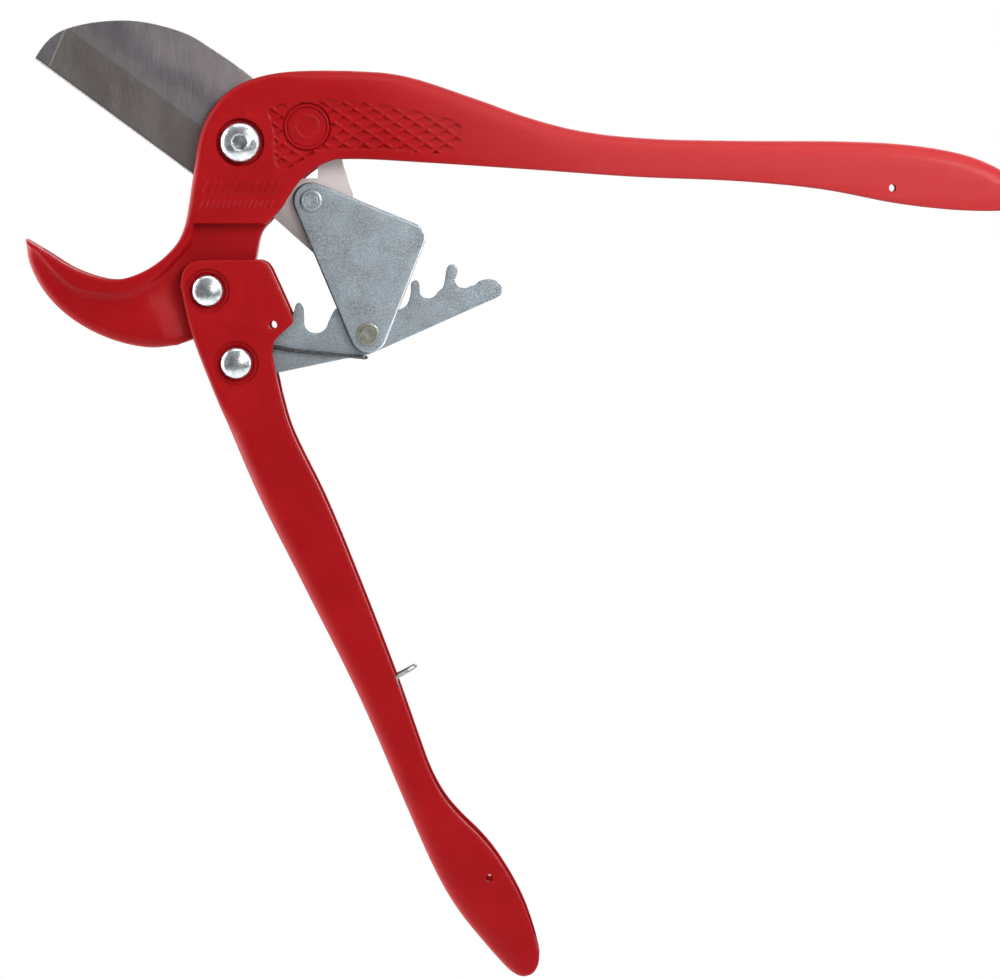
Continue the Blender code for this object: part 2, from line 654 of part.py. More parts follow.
def pivot_bolt(surface):
    """The button head bolt that the blade turns on."""
    seat = HEAD_HALF - BOLT_SEAT_DEPTH + GAP
    crown = dome(BOLT_HEAD, seat + HEAD_RIM, BOLT_HEAD_HEIGHT - HEAD_RIM)
    half = [(BOLT_SHANK, seat), (BOLT_HEAD, seat)] + crown
    end = seat + NUT_HEIGHT + BOLT_PAST_NUT
    profile = [(r, -d) for r, d in reversed(half)]
    profile += [(BOLT_SHANK, end - HEAD_RIM), (BOLT_SHANK - HEAD_RIM, end), (0, end)]
    piece = turned("pivot_bolt", profile, MAIN_PIVOT, surface)
    floor = -(seat + BOLT_HEAD_HEIGHT - BOLT_SOCKET_DEPTH)
    cut(piece, cutter("bolt_socket", circle(MAIN_PIVOT, BOLT_SOCKET, 6), -THROUGH, floor))
    return piece


def pivot_nut(surface):
    """The hexagon nut on the rear end of the bolt."""
    seat = HEAD_HALF - BOLT_SEAT_DEPTH + GAP
    piece = prism("pivot_nut", circle(MAIN_PIVOT, NUT_RADIUS, 6), seat, seat + NUT_HEIGHT, surface)
    cut(piece, hole("nut_bore", MAIN_PIVOT, BOLT_SHANK + GAP))
    return piece


def washers_and_sleeves(bronze, steel):
    """The round pieces that the joints run on."""
    cheek = HEAD_SLOT_HALF - GAP
    ring("pivot_bush", MAIN_PIVOT, BOLT_SHANK + GAP, BUSH_RADIUS, -cheek, cheek, bronze)
    blade_side = cheek - WASHER_THICKNESS
    ring("blade_washer_front", MAIN_PIVOT, BUSH_RADIUS + GAP, BLADE_WASHER_RADIUS,
         -cheek, -blade_side, steel)
    ring("blade_washer_rear", MAIN_PIVOT, BUSH_RADIUS + GAP, BLADE_WASHER_RADIUS,
         blade_side, cheek, steel)
    near = TONGUE_HALF + GAP
    far = near + WASHER_THICKNESS
    ring("handle_washer_front", HANDLE_PIVOT, RIVET_SHANK + GAP, HANDLE_WASHER_RADIUS,
         -far, -near, steel)
    ring("handle_washer_rear", HANDLE_PIVOT, RIVET_SHANK + GAP, HANDLE_WASHER_RADIUS,
         near, far, steel)
    near = RACK_HALF + GAP
    far = LOWER_CHANNEL_HALF - GAP
    ring("rack_spacer_front", RACK_PIVOT, RIVET_SHANK + GAP, SPACER_RADIUS, -far, -near, steel)
    ring("rack_spacer_rear", RACK_PIVOT, RIVET_SHANK + GAP, SPACER_RADIUS, near, far, steel)


def latch_peg(surface):
    """The peg in the upper channel that the bail hooks over."""
    reach = UPPER_CHANNEL_HALF + PEG_SOCKET - GAP
    profile = [(0, -reach), (PEG_RADIUS, -reach), (PEG_RADIUS, reach), (0, reach)]
    return turned("latch_peg", profile, PEG_CENTRE, surface, 16)


# ---------------------------------------------------------------- assembly


def build():
    """Clears the scene and makes every piece."""
    for old in list(bpy.data.objects):
        bpy.data.objects.remove(old, do_unlink=True)

    red = material("red_paint", (0.42, 0.012, 0.018), 0.42, 0.0)
    zinc = material("zinc_plate", (0.50, 0.53, 0.56), 0.38, 1.0)
    ground = material("ground_steel", (0.36, 0.34, 0.33), 0.35, 1.0)
    bright = material("bright_steel", (0.72, 0.73, 0.74), 0.18, 1.0)
    spring = material("spring_steel", (0.10, 0.11, 0.12), 0.4, 1.0)
    bronze = material("bronze", (0.55, 0.36, 0.16), 0.4, 1.0)

    frame_casting(red)
    lower_handle(red)
    bevelled_blade(ground)
    link_yoke(zinc)
    rack(zinc)
    rack_spring(spring)
    lock_bail(zinc)
    pivot_bolt(bright)
    pivot_nut(bright)
    domed_rivet("handle_rivet", HANDLE_PIVOT, bright)
    domed_rivet("rack_rivet", RACK_PIVOT, bright)
    flush_rivet("link_rivet", LINK_PIVOT, LINK_RIVET_SHANK, LINK_RIVET_HEAD, zinc)
    flush_rivet("notch_pin", NOTCH_PIN, NOTCH_PIN_SHANK, NOTCH_PIN_HEAD, zinc)
    latch_peg(bright)
    washers_and_sleeves(bronze, bright)


build()
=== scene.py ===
import json
from math import asin, atan2, cos, degrees, pi, radians, sin, sqrt

import bmesh
import bpy
import numpy as np
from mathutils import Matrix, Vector
from mathutils.geometry import delaunay_2d_cdt


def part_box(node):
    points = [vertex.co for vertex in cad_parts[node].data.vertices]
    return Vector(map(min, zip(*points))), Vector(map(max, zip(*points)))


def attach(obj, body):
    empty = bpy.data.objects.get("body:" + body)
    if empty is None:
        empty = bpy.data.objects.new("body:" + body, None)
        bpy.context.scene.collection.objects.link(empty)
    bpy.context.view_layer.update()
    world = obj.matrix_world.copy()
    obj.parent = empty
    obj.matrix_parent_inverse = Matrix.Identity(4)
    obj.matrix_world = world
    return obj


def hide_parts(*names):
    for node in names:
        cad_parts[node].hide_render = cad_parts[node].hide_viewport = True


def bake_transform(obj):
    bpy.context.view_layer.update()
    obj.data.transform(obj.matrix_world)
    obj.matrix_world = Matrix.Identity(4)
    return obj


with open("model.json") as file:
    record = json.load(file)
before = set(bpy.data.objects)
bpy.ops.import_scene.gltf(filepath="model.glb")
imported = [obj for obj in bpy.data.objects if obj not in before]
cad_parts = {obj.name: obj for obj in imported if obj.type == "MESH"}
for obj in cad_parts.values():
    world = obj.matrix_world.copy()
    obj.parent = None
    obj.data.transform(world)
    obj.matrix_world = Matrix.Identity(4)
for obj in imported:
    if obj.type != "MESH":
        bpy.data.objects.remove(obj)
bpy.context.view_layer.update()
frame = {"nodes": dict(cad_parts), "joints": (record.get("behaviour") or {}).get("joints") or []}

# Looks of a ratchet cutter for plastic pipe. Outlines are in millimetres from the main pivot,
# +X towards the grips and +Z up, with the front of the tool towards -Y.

MM = 0.001
JOINTS = {joint["name"]: Vector(joint["pos_m"]) for joint in frame["joints"]}
ORIGIN = JOINTS["blade_hinge"]


def local(place):
    """A place in the frame as millimetres from the main pivot, in the plane of the tool."""
    offset = (place - ORIGIN) / MM
    return (offset.x, offset.z)


def centre_of(node):
    """The middle of a CAD node, in the plane of the tool."""
    low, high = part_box(node)
    return local((low + high) / 2)


def half_of(node):
    """Half thickness of a CAD node."""
    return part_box(node)[1].y / MM


MAIN_PIVOT = (0, 0)
HANDLE_PIVOT = local(JOINTS["handle_hinge"])
RACK_PIVOT = local(JOINTS["rack_hinge"])
LINK_PIVOT = local(JOINTS["link_hinge"])
BAIL_PIVOT = local(JOINTS["bail_hinge"])
NOTCH_PIN = centre_of("notch_pin")
LATCH_PEG = centre_of("latch_peg")

# Half thicknesses of the castings, plates and slots, the gap between pieces and a casting's wall.
HEAD_HALF = half_of("frame_casting")
HOOK_HALF = 8.6
TONGUE_HALF = 6.0
LOWER_HALF = half_of("lower_handle")
BLADE_HALF = half_of("blade")
RACK_HALF = half_of("rack")
LINK_HALF = half_of("link_yoke")
LINK_INNER = 2.3
HEAD_SLOT_HALF = 3.4
HOOK_SLOT_HALF = 2.7
UPPER_CHANNEL_HALF = 6.8
LOWER_CHANNEL_HALF = 7.4
GAP = 0.3
WEB = 3.5

# Radii of the fasteners' shanks and of the hang holes.
SHANK = 5.0
PIN_SHANK = 3.5
HANG_HOLE_RADIUS = 1.75

# The cutting edge: a straight line that passes the main pivot at a distance.
EDGE_ANGLE = 143.7
EDGE_OFFSET = 24.75
BLADE_REACH = 100.5
BLADE_TIP_ANGLE = 158.0
CLOSING_ANGLE = 70.0


# ---- plane geometry

CURVE_STEPS = 8


def polar(centre, radius, angle):
    """The point at an angle in degrees on a circle."""
    return (centre[0] + radius * cos(radians(angle)), centre[1] + radius * sin(radians(angle)))


def arc(centre, radius, start, end, count):
    """Points along a circle from one angle to another."""
    step = (end - start) / (count - 1)
    return [polar(centre, radius, start + step * i) for i in range(count)]


def circle(centre, radius, count=48):
    """Points all round a circle."""
    return [polar(centre, radius, 360 * i / count) for i in range(count)]


def smooth(points, steps=CURVE_STEPS):
    """A Catmull-Rom curve through points in the plane or in space, with its ends held."""
    vectors = [Vector(p) for p in points]
    padded = [2 * vectors[0] - vectors[1]] + vectors + [2 * vectors[-1] - vectors[-2]]
    curve = []
    for a, b, c, d in zip(padded, padded[1:], padded[2:], padded[3:]):
        for i in range(steps):
            t = i / steps
            point = 0.5 * (2 * b + (c - a) * t + (2 * a - 5 * b + 4 * c - d) * t * t
                           + (3 * b - a - 3 * c + d) * t * t * t)
            curve.append(tuple(point))
    curve.append(tuple(vectors[-1]))
    return curve


def spaced(points, spacing):
    """The same run of points at an even spacing."""
    line = np.array(points, float)
    lengths = np.concatenate([[0], np.cumsum(np.linalg.norm(np.diff(line, axis=0), axis=1))])
    count = max(2, int(round(lengths[-1] / spacing)) + 1)
    places = np.linspace(0, lengths[-1], count)
    return np.column_stack([np.interp(places, lengths, line[:, i]) for i in range(line.shape[1])])


def sideways(line, distance):
    """A run of points moved to the right of its direction."""
    line = np.asarray(line, float)
    along = np.gradient(line, axis=0)
    along /= np.linalg.norm(along, axis=1, keepdims=True)
    return line + np.column_stack([along[:, 1], -along[:, 0]]) * distance


def round_hull(circles, count=25):
    """The outline round a ring of circles, listed anticlockwise as (centre, radius)."""
    normals = []
    for (start, r0), (end, r1) in zip(circles, circles[1:] + circles[:1]):
        run = Vector(end) - Vector(start)
        lean = asin((r0 - r1) / run.length)
        normals.append(degrees(atan2(run.y, run.x) + lean) - 90)
    outline = []
    for i, (centre, radius) in enumerate(circles):
        last = normals[i]
        while last < normals[i - 1]:
            last += 360
        outline += arc(centre, radius, normals[i - 1], last, count)
    return outline


def nearest(points, loop):
    """For each point, its distance to a closed loop and the segment and share it is nearest to."""
    starts = loop[:, :2]
    runs = np.roll(starts, -1, axis=0) - starts
    squares = np.maximum((runs ** 2).sum(1), 1e-12)
    distance = np.empty(len(points))
    segment = np.empty(len(points), int)
    share = np.empty(len(points))
    for first in range(0, len(points), 1500):
        part = points[first:first + 1500]
        offset = part[:, None, :] - starts[None]
        t = np.clip((offset * runs[None]).sum(2) / squares, 0, 1)
        gaps = ((offset - t[..., None] * runs[None]) ** 2).sum(2)
        best = gaps.argmin(1)
        rows = np.arange(len(part))
        distance[first:first + 1500] = np.sqrt(gaps[rows, best])
        segment[first:first + 1500] = best
        share[first:first + 1500] = t[rows, best]
    return distance, segment, share


def depth_in(points, loop):
    """How deep each point lies inside a closed loop, negative outside."""
    loop = np.asarray(loop, float)[:, :2]
    distance = nearest(points, loop)[0]
    following = np.roll(loop, -1, axis=0)
    within = np.zeros(len(points), bool)
    for (x0, z0), (x1, z1) in zip(loop, following):
        crosses = (z0 > points[:, 1]) != (z1 > points[:, 1])
        if crosses.any():
            reach = x0 + (points[crosses, 1] - z0) * (x1 - x0) / (z1 - z0)
            within[np.flatnonzero(crosses)[points[crosses, 0] < reach]] ^= True
    return np.where(within, distance, -distance)


def away_from(centre, points):
    """How far each point lies from a centre."""
    return np.hypot(points[:, 0] - centre[0], points[:, 1] - centre[1])


def ease(value):
    """A smooth step from 0 to 1."""
    value = np.clip(value, 0, 1)
    return value * value * (3 - 2 * value)


def rim_drop(depth, radius):
    """How far a rounded rim falls below the face, at a depth inside the outline."""
    radius = np.maximum(radius, 1e-3)
    inside = np.clip(radius - depth, 0, radius)
    return radius - np.sqrt(np.maximum(radius ** 2 - inside ** 2, 0))


# ---- solids

RIM_BLEND = 24
RIM_SHARES = [1 - cos(radians(angle)) for angle in (18, 36, 54, 72, 90)]
LINE_MARGIN = 0.4
LOOSE_MARGIN = 0.8
THROUGH = 30


def rim_of(*stretches, spacing=1.2):
    """A closed outline from stretches of (points, edge radius)."""
    rows = []
    for points, radius in stretches:
        line = spaced(points, spacing)
        rows.append(np.column_stack([line, np.full(len(line), radius)]))
    loop = np.vstack(rows)
    keep = np.linalg.norm(loop[:, :2] - np.roll(loop[:, :2], 1, axis=0), axis=1) > 0.05
    loop = loop[keep]
    for _ in range(RIM_BLEND):
        loop[:, 2] = (np.roll(loop[:, 2], 1) + loop[:, 2] + np.roll(loop[:, 2], -1)) / 3
    area = (loop[:, 0] * np.roll(loop[:, 1], -1) - np.roll(loop[:, 0], -1) * loop[:, 1]).sum()
    return loop if area > 0 else loop[::-1]


def rim_rings(loop):
    """Lines that follow the rim inwards, where its rounding needs points."""
    along = np.roll(loop[:, :2], -1, axis=0) - np.roll(loop[:, :2], 1, axis=0)
    along /= np.linalg.norm(along, axis=1, keepdims=True)
    inward = np.column_stack([-along[:, 1], along[:, 0]])
    lines = []
    for share in RIM_SHARES:
        reach = loop[:, 2] * share
        points = loop[:, :2] + inward * reach[:, None]
        kept = depth_in(points, loop) > reach * 0.93
        lines.append((points, kept, True))
    return lines


def rings(centre, radii, count=96):
    """Circles about a feature, where its slope needs points."""
    return [(np.array(circle(centre, radius, count)), None, True) for radius in radii]


def bands(line, offsets, closed=False):
    """Lines beside a feature's edge, where its slope needs points."""
    line = np.asarray(line, float)
    return [(sideways(line, offset), None, closed) for offset in offsets]


def relief(name, loop, height, lines, loose):
    """A closed solid with a rim, whose two faces stand at height(points, depth, radius)."""
    points = [loop[:, :2]]
    edges = [(i, (i + 1) % len(loop)) for i in range(len(loop))]
    total = len(loop)
    for line, kept, closed in [*rim_rings(loop), *lines]:
        if kept is None:
            kept = depth_in(line, loop) > LINE_MARGIN
        numbers = np.where(kept, total + np.cumsum(kept) - 1, -1)
        pairs = list(zip(numbers, numbers[1:]))
        if closed:
            pairs.append((numbers[-1], numbers[0]))
        edges += [(int(a), int(b)) for a, b in pairs if a >= 0 and b >= 0]
        points.append(line[kept])
        total += int(kept.sum())
    points.append(loose[depth_in(loose, loop) > LOOSE_MARGIN])
    flat = [Vector(p) for p in np.vstack(points)]
    verts, _, faces, *_ = delaunay_2d_cdt(flat, edges, [], 1, 1e-5, False)
    verts = np.array([tuple(v) for v in verts])
    faces = np.array([f for f in faces if len(f) == 3])
    a, b, c = (verts[faces[:, i]] for i in range(3))
    turn = (b[:, 0] - a[:, 0]) * (c[:, 1] - a[:, 1]) - (b[:, 1] - a[:, 1]) * (c[:, 0] - a[:, 0])
    faces[turn < 0] = faces[turn < 0][:, ::-1]
    middle = (a + b + c) / 3
    faces = faces[depth_in(middle, loop) > 0]
    depth, segment, share = nearest(verts, loop)
    radius = loop[segment, 2] * (1 - share) + np.roll(loop[:, 2], -1)[segment] * share
    return solid_from(name, verts, faces, height(verts, depth, radius))


def flat_plate(half):
    """The height of a flat plate with rounded edges."""
    return lambda points, depth, radius: half - rim_drop(depth, radius)


def solid_from(name, verts, faces, rise):
    """Joins two mirrored faces and the wall between them."""
    used, faces = np.unique(faces, return_inverse=True)
    faces = faces.reshape(-1, 3)
    verts, rise = verts[used], rise[used]
    count = len(verts)
    edges = np.vstack([faces[:, [0, 1]], faces[:, [1, 2]], faces[:, [2, 0]]])
    directed = {tuple(edge) for edge in edges.tolist()}
    border = [(a, b) for a, b in directed if (b, a) not in directed]
    places = np.vstack([np.column_stack([verts[:, 0], side * rise, verts[:, 1]])
                        for side in (-1, 1)])
    polygons = faces.tolist() + (faces[:, ::-1] + count).tolist()
    polygons += [(b, a, a + count, b + count) for a, b in border]
    return new_object(name, places, polygons)


def add_object(name, data):
    """An object in the scene, from its data."""
    thing = bpy.data.objects.new(name, data)
    bpy.context.scene.collection.objects.link(thing)
    return thing


def new_object(name, places, polygons):
    """A mesh object from places in millimetres and its polygons."""
    mesh = bpy.data.meshes.new(name)
    world = np.asarray(places, float) * MM + np.array([ORIGIN.x, 0, ORIGIN.z])
    mesh.from_pydata(world.tolist(), [], [list(p) for p in polygons])
    mesh.validate()
    return add_object(name, mesh)


def prism(name, outline, near, far):
    """A flat solid between two depths."""
    outline = [tuple(p[:2]) for p in outline]
    area = sum(a[0] * b[1] - b[0] * a[1] for a, b in zip(outline, outline[1:] + outline[:1]))
    if area < 0:
        outline = outline[::-1]
    count = len(outline)
    places = [(x, near, z) for x, z in outline] + [(x, far, z) for x, z in outline]
    polygons = [list(range(count)), list(range(2 * count - 1, count - 1, -1))]
    for i in range(count):
        j = (i + 1) % count
        polygons.append([j, i, i + count, j + count])
    return new_object(name, places, polygons)


def slab(outline, half):
    """A flat tool about the middle plane."""
    return prism("tool", outline, -half, half)


def hole(centre, radius, count=48, half=THROUGH):
    """A round tool that cuts through both sides."""
    return slab(circle(centre, radius, count), half)


def turned(name, profile, centre, count=64):
    """A solid of revolution about an axis along Y. The profile holds (radius, depth) pairs."""
    places, levels = [], []
    for radius, depth in profile:
        spots = [centre] if radius == 0 else circle(centre, radius, count)
        levels.append(range(len(places), len(places) + len(spots)))
        places += [(x, depth, z) for x, z in spots]
    polygons = []
    for low, high in zip(levels, levels[1:]):
        for i in range(count):
            corners = [low[i % len(low)], low[(i + 1) % len(low)],
                       high[(i + 1) % len(high)], high[i % len(high)]]
            polygons.append(list(dict.fromkeys(corners)))
    piece = new_object(name, places, polygons)
    face_outwards(piece)
    return piece


def face_outwards(piece):
    """Turns every face of a closed mesh outwards."""
    bm = bmesh.new()
    bm.from_mesh(piece.data)
    bmesh.ops.recalc_face_normals(bm, faces=bm.faces)
    bm.to_mesh(piece.data)
    bm.free()


def carve(piece, tools, operation="DIFFERENCE"):
    """Cuts a piece with each tool, and throws the tools away."""
    for tool in tools:
        boolean = piece.modifiers.new("carve", "BOOLEAN")
        boolean.operation = operation
        boolean.solver = "EXACT"
        boolean.object = tool
    seen = piece.evaluated_get(bpy.context.evaluated_depsgraph_get())
    uncut = piece.data
    mesh = bpy.data.meshes.new_from_object(seen)
    piece.modifiers.clear()
    piece.data = mesh
    bpy.data.meshes.remove(uncut)
    for tool in tools:
        bpy.data.objects.remove(tool, do_unlink=True)


def shade(piece, angle):
    """Smooth shading with sharp edges kept."""
    piece.data.shade_smooth()
    piece.data.set_sharp_from_angle(angle=radians(angle))


def tube(name, path, radius):
    """A round wire along a smooth path, as a mesh."""
    curve = bpy.data.curves.new(name + "_path", "CURVE")
    curve.dimensions = "3D"
    curve.bevel_depth = radius * MM
    curve.bevel_resolution = 5
    curve.use_fill_caps = True
    spline = curve.splines.new("POLY")
    spline.points.add(len(path) - 1)
    for target, (x, y, z) in zip(spline.points, path):
        target.co = (x * MM + ORIGIN.x, y * MM, z * MM + ORIGIN.z, 1)
    holder = add_object(name + "_path", curve)
    seen = holder.evaluated_get(bpy.context.evaluated_depsgraph_get())
    mesh = bpy.data.meshes.new_from_object(seen)
    bpy.data.objects.remove(holder, do_unlink=True)
    return add_object(name, mesh)


# ---- materials


class Nodes:
    """Lays out the nodes of a material or a world."""

    def __init__(self, owner):
        owner.use_nodes = True
        self.owner = owner
        self.tree = owner.node_tree
        self.coordinates = self.add("ShaderNodeTexCoord").outputs
        self.place = self.coordinates["Object"]

    def feed(self, socket, value):
        """Sets an input from another node, a number or a colour."""
        if hasattr(value, "node"):
            self.tree.links.new(value, socket)
        elif socket.type == "RGBA":
            socket.default_value = (*value, 1)
        else:
            socket.default_value = value

    def add(self, kind, *values, operation=None, **named):
        """A node with its first inputs and its named inputs fed."""
        node = self.tree.nodes.new(kind)
        if operation:
            node.operation = operation
        for socket, value in zip(node.inputs, values):
            self.feed(socket, value)
        for name, value in named.items():
            self.feed(node.inputs[name.replace("_", " ")], value)
        return node

    def math(self, operation, *values):
        """A value worked out from one or two others."""
        return self.add("ShaderNodeMath", *values, operation=operation).outputs[0]

    def stretched(self, scale, turn=0):
        """Coordinates turned about Y and scaled along each axis."""
        return self.add("ShaderNodeMapping", Rotation=(0, radians(turn), 0), Scale=scale,
                        Vector=self.place).outputs[0]

    def parts(self, place):
        """The three coordinates of a place."""
        return self.add("ShaderNodeSeparateXYZ", place).outputs

    def below(self, value, level):
        """How far a value lies below a level."""
        return self.math("SUBTRACT", level, value)

    def noise(self, scale, detail, place=None):
        """A cloudy value."""
        return self.add("ShaderNodeTexNoise", Scale=scale, Detail=detail, Roughness=0.55,
                        Vector=place or self.place).outputs["Fac"]

    def spread(self, value, low, high, start=0.3, end=0.7):
        """A value from a noise, mapped to a range."""
        return self.add("ShaderNodeMapRange", From_Min=start, From_Max=end, To_Min=low,
                        To_Max=high, Value=value).outputs["Result"]

    def share(self, value, start, end):
        """Where a value lies between a start and an end, from 0 to 1."""
        return self.spread(value, 0, 1, start, end)

    def cloud(self, scale, detail, start=0.3, end=0.7):
        """A cloudy share from 0 to 1."""
        return self.share(self.noise(scale, detail), start, end)

    def blend(self, share, first, second):
        """A colour between two, by a share. The colours are inputs 6 and 7."""
        node = self.add("ShaderNodeMix")
        node.data_type = "RGBA"
        for socket, value in zip((0, 6, 7), (share, first, second)):
            self.feed(node.inputs[socket], value)
        return node.outputs[2]

    def bump(self, height, strength, distance, **under):
        """Fine unevenness, laid over another where there is one."""
        return self.add("ShaderNodeBump", Strength=strength, Distance=distance, Height=height,
                        **under).outputs["Normal"]

    def finish(self, **looks):
        """Feeds the shader and gives the material."""
        for name, value in looks.items():
            self.feed(self.tree.nodes["Principled BSDF"].inputs[name.replace("_", " ")], value)
        return self.owner


def material(name):
    """The nodes of a new material."""
    return Nodes(bpy.data.materials.new(name))


def level_of(place, angle):
    """Where a line through a place at an angle lies on coordinates turned to it."""
    turn = radians(angle)
    return (place[1] * MM + ORIGIN.z) * cos(turn) - (place[0] * MM + ORIGIN.x) * sin(turn)


EDGE_FOOT = polar(MAIN_PIVOT, EDGE_OFFSET, EDGE_ANGLE + 90)
EDGE_LEVEL = level_of(EDGE_FOOT, EDGE_ANGLE)
TIP_FACET = ((-80.7, 47.2), (-86.8, 33.5))
FACET_ANGLE = degrees(atan2(TIP_FACET[1][1] - TIP_FACET[0][1], TIP_FACET[1][0] - TIP_FACET[0][0]))
FACET_LEVEL = level_of(TIP_FACET[0], FACET_ANGLE)
BLADE_BANDS = ((0.0196, 0.0204, (0.205, 0.19, 0.196), (0.243, 0.225, 0.231)),
               (0.024, 0.0275, (0.152, 0.146, 0.158), (0.198, 0.188, 0.204)),
               (0.032, 0.039, (0.228, 0.206, 0.216), (0.297, 0.265, 0.278)))
# Where the painted sheen on the upper handle starts and where it is full, along x plus z.
HANDLE_SHEEN_LEVELS = (ORIGIN.x + ORIGIN.z + 0.07, ORIGIN.x + ORIGIN.z + 0.15)
# Levels over which the painted sheen on the tail grows paler upwards.
TAIL_SHEEN_LEVELS = (ORIGIN.z - 0.042, ORIGIN.z - 0.022)


def red_paint():
    """Satin red enamel with a little orange peel, paler on the edges as wear and as painted highlight,
    and with a painted sheen over the upper handle.
    """
    n = material("red_enamel")
    body = n.blend(n.cloud(38, 5), (0.212, 0.0023, 0.0038), (0.25, 0.0034, 0.0052))
    x, _, z = n.parts(n.place)
    # Painted sheen: the upper handle is paler towards its upper right, where the light falls.
    handle = n.share(n.math("ADD", x, z), *HANDLE_SHEEN_LEVELS)
    body = n.blend(handle, body, (0.285, 0.0175, 0.0195))
    # Edges paler, partly as wear and partly as a painted highlight on the rounded rims.
    wear_and_edge_sheen = n.add("ShaderNodeNewGeometry").outputs["Pointiness"]
    wear_and_edge_sheen = n.spread(wear_and_edge_sheen, 0, 0.3, 0.53, 0.6)
    colour = n.blend(wear_and_edge_sheen, body, (0.44, 0.014, 0.012))
    rough = n.spread(n.noise(160, 3), 0.36, 0.48)
    peel = n.bump(n.noise(900, 2), 0.18, 0.0004)
    lumps = n.bump(n.noise(120, 3), 0.1, 0.001, Normal=peel)
    return n.finish(Base_Color=colour, Roughness=rough, Metallic=0, Normal=lumps,
                    Coat_Weight=0.03, Coat_Roughness=0.2, Specular_IOR_Level=0.08)


def zinc_plate():
    """Zinc plating: blue-grey with a fine speckle, with painted shade on faces turned to the left and a
    painted highlight on faces turned to the right.
    """
    n = material("zinc_plate")
    body = n.blend(n.cloud(75, 5, 0.36, 0.64), (0.178, 0.2, 0.216), (0.238, 0.282, 0.316))
    speck = n.spread(n.noise(1500, 2), 0, 0.55, 0.44, 0.68)
    colour = n.blend(speck, body, (0.43, 0.465, 0.49))
    pits = n.spread(n.noise(1250, 3), 0, 0.5, 0.52, 0.7)
    colour = n.blend(pits, colour, (0.105, 0.125, 0.142))
    facing = n.parts(n.add("ShaderNodeTexCoord").outputs["Normal"])["X"]
    # Painted shade on faces turned to the left, mostly the edges.
    colour = n.blend(n.spread(facing, 1, 0, -0.45, -0.15), colour, (0.035, 0.04, 0.05))
    # Painted highlight on faces turned to the right, mostly the edges.
    colour = n.blend(n.share(facing, 0.25, 0.8), colour, (0.86, 0.88, 0.9))
    rough = n.spread(n.noise(900, 3), 0.34, 0.52)
    grain = n.bump(n.noise(1400, 2), 0.25, 0.0002)
    return n.finish(Base_Color=colour, Roughness=rough, Metallic=0.62, Normal=grain)


def ground_steel():
    """Ground blade steel in bands of tone along the edge, with painted highlights on the tip facet's
    line and on the cutting edge, painted shade on the facet and just above the edge, and a painted
    sheen on the pale tail.
    """
    n = material("ground_steel")
    lines = n.noise(1, 3, n.stretched((2400, 2400, 130)))
    smears = n.share(n.noise(1, 5, n.stretched((85, 85, 34))), 0.36, 0.64)
    stains = n.spread(n.noise(70, 5), -0.004, 0.004)
    level = n.parts(n.stretched((1, 1, 1), EDGE_ANGLE))["Z"]
    honed = n.below(level, EDGE_LEVEL)
    stained = n.math("ADD", honed, stains)
    colour = n.blend(smears, (0.17, 0.15, 0.14), (0.225, 0.203, 0.192))
    for start, end, darker, paler in BLADE_BANDS:
        tone = n.blend(smears, darker, paler)
        depth = stained if start > BLADE_BANDS[0][0] else honed
        colour = n.blend(n.share(depth, start, end), colour, tone)
    colour = n.blend(n.spread(lines, 0, 0.25), colour, (0.16, 0.145, 0.15))
    past = n.below(n.parts(n.stretched((1, 1, 1), FACET_ANGLE))["Z"], FACET_LEVEL)
    # Painted highlight on the line of the tip facet, then painted shade over the facet beyond it.
    colour = n.blend(n.spread(past, 0, 0.75, -0.0006, 0), colour, (0.46, 0.44, 0.45))
    colour = n.blend(n.share(past, 0, 0.0006), colour, (0.2, 0.19, 0.2))
    # Painted shade as a dark line above the cutting edge, and a painted highlight on the edge itself.
    colour = n.blend(n.spread(honed, 0.8, 0, 0.0011, 0.0014), colour, (0.1, 0.095, 0.095))
    colour = n.blend(n.spread(honed, 1, 0, 0.0004, 0.0007), colour, (0.85, 0.84, 0.83))
    x, _, z = n.parts(n.place)
    # Painted sheen: the tail is paler and less metallic, and paler towards the top.
    tail_sheen = n.share(x, ORIGIN.x - 0.012, ORIGIN.x + 0.03)
    pale = n.blend(n.share(z, *TAIL_SHEEN_LEVELS), (0.2, 0.166, 0.16), (0.485, 0.44, 0.434))
    colour = n.blend(tail_sheen, colour, pale)
    rough = n.spread(lines, 0.28, 0.42)
    scratch = n.bump(lines, 0.16, 0.00012)
    metal = n.spread(tail_sheen, 0.8, 0.12, 0.3, 1)
    return n.finish(Base_Color=colour, Roughness=rough, Metallic=metal, Normal=scratch)


def bright_steel():
    """Bright plated fasteners with dull smears and slight dents."""
    n = material("bright_plate")
    colour = n.blend(n.cloud(330, 5, 0.38, 0.62), (0.4, 0.43, 0.45), (0.62, 0.645, 0.665))
    rough = n.spread(n.noise(480, 3), 0.17, 0.34)
    dents = n.bump(n.noise(420, 2), 0.1, 0.0004)
    return n.finish(Base_Color=colour, Roughness=rough, Metallic=0.95, Normal=dents)


def pin_steel():
    """Dull olive grey passivated pin ends."""
    n = material("passivated_pin")
    colour = n.blend(n.cloud(500, 4), (0.165, 0.17, 0.145), (0.27, 0.275, 0.235))
    dents = n.bump(n.noise(600, 3), 0.35, 0.0003)
    return n.finish(Base_Color=colour, Roughness=0.46, Metallic=0.9, Normal=dents)


def wire_steel(name, low, high):
    """Drawn wire with a fine grain."""
    n = material(name)
    colour = n.blend(n.cloud(800, 4), low, high)
    grain = n.bump(n.noise(2500, 2), 0.2, 0.0001)
    return n.finish(Base_Color=colour, Roughness=0.38, Metallic=1, Normal=grain)


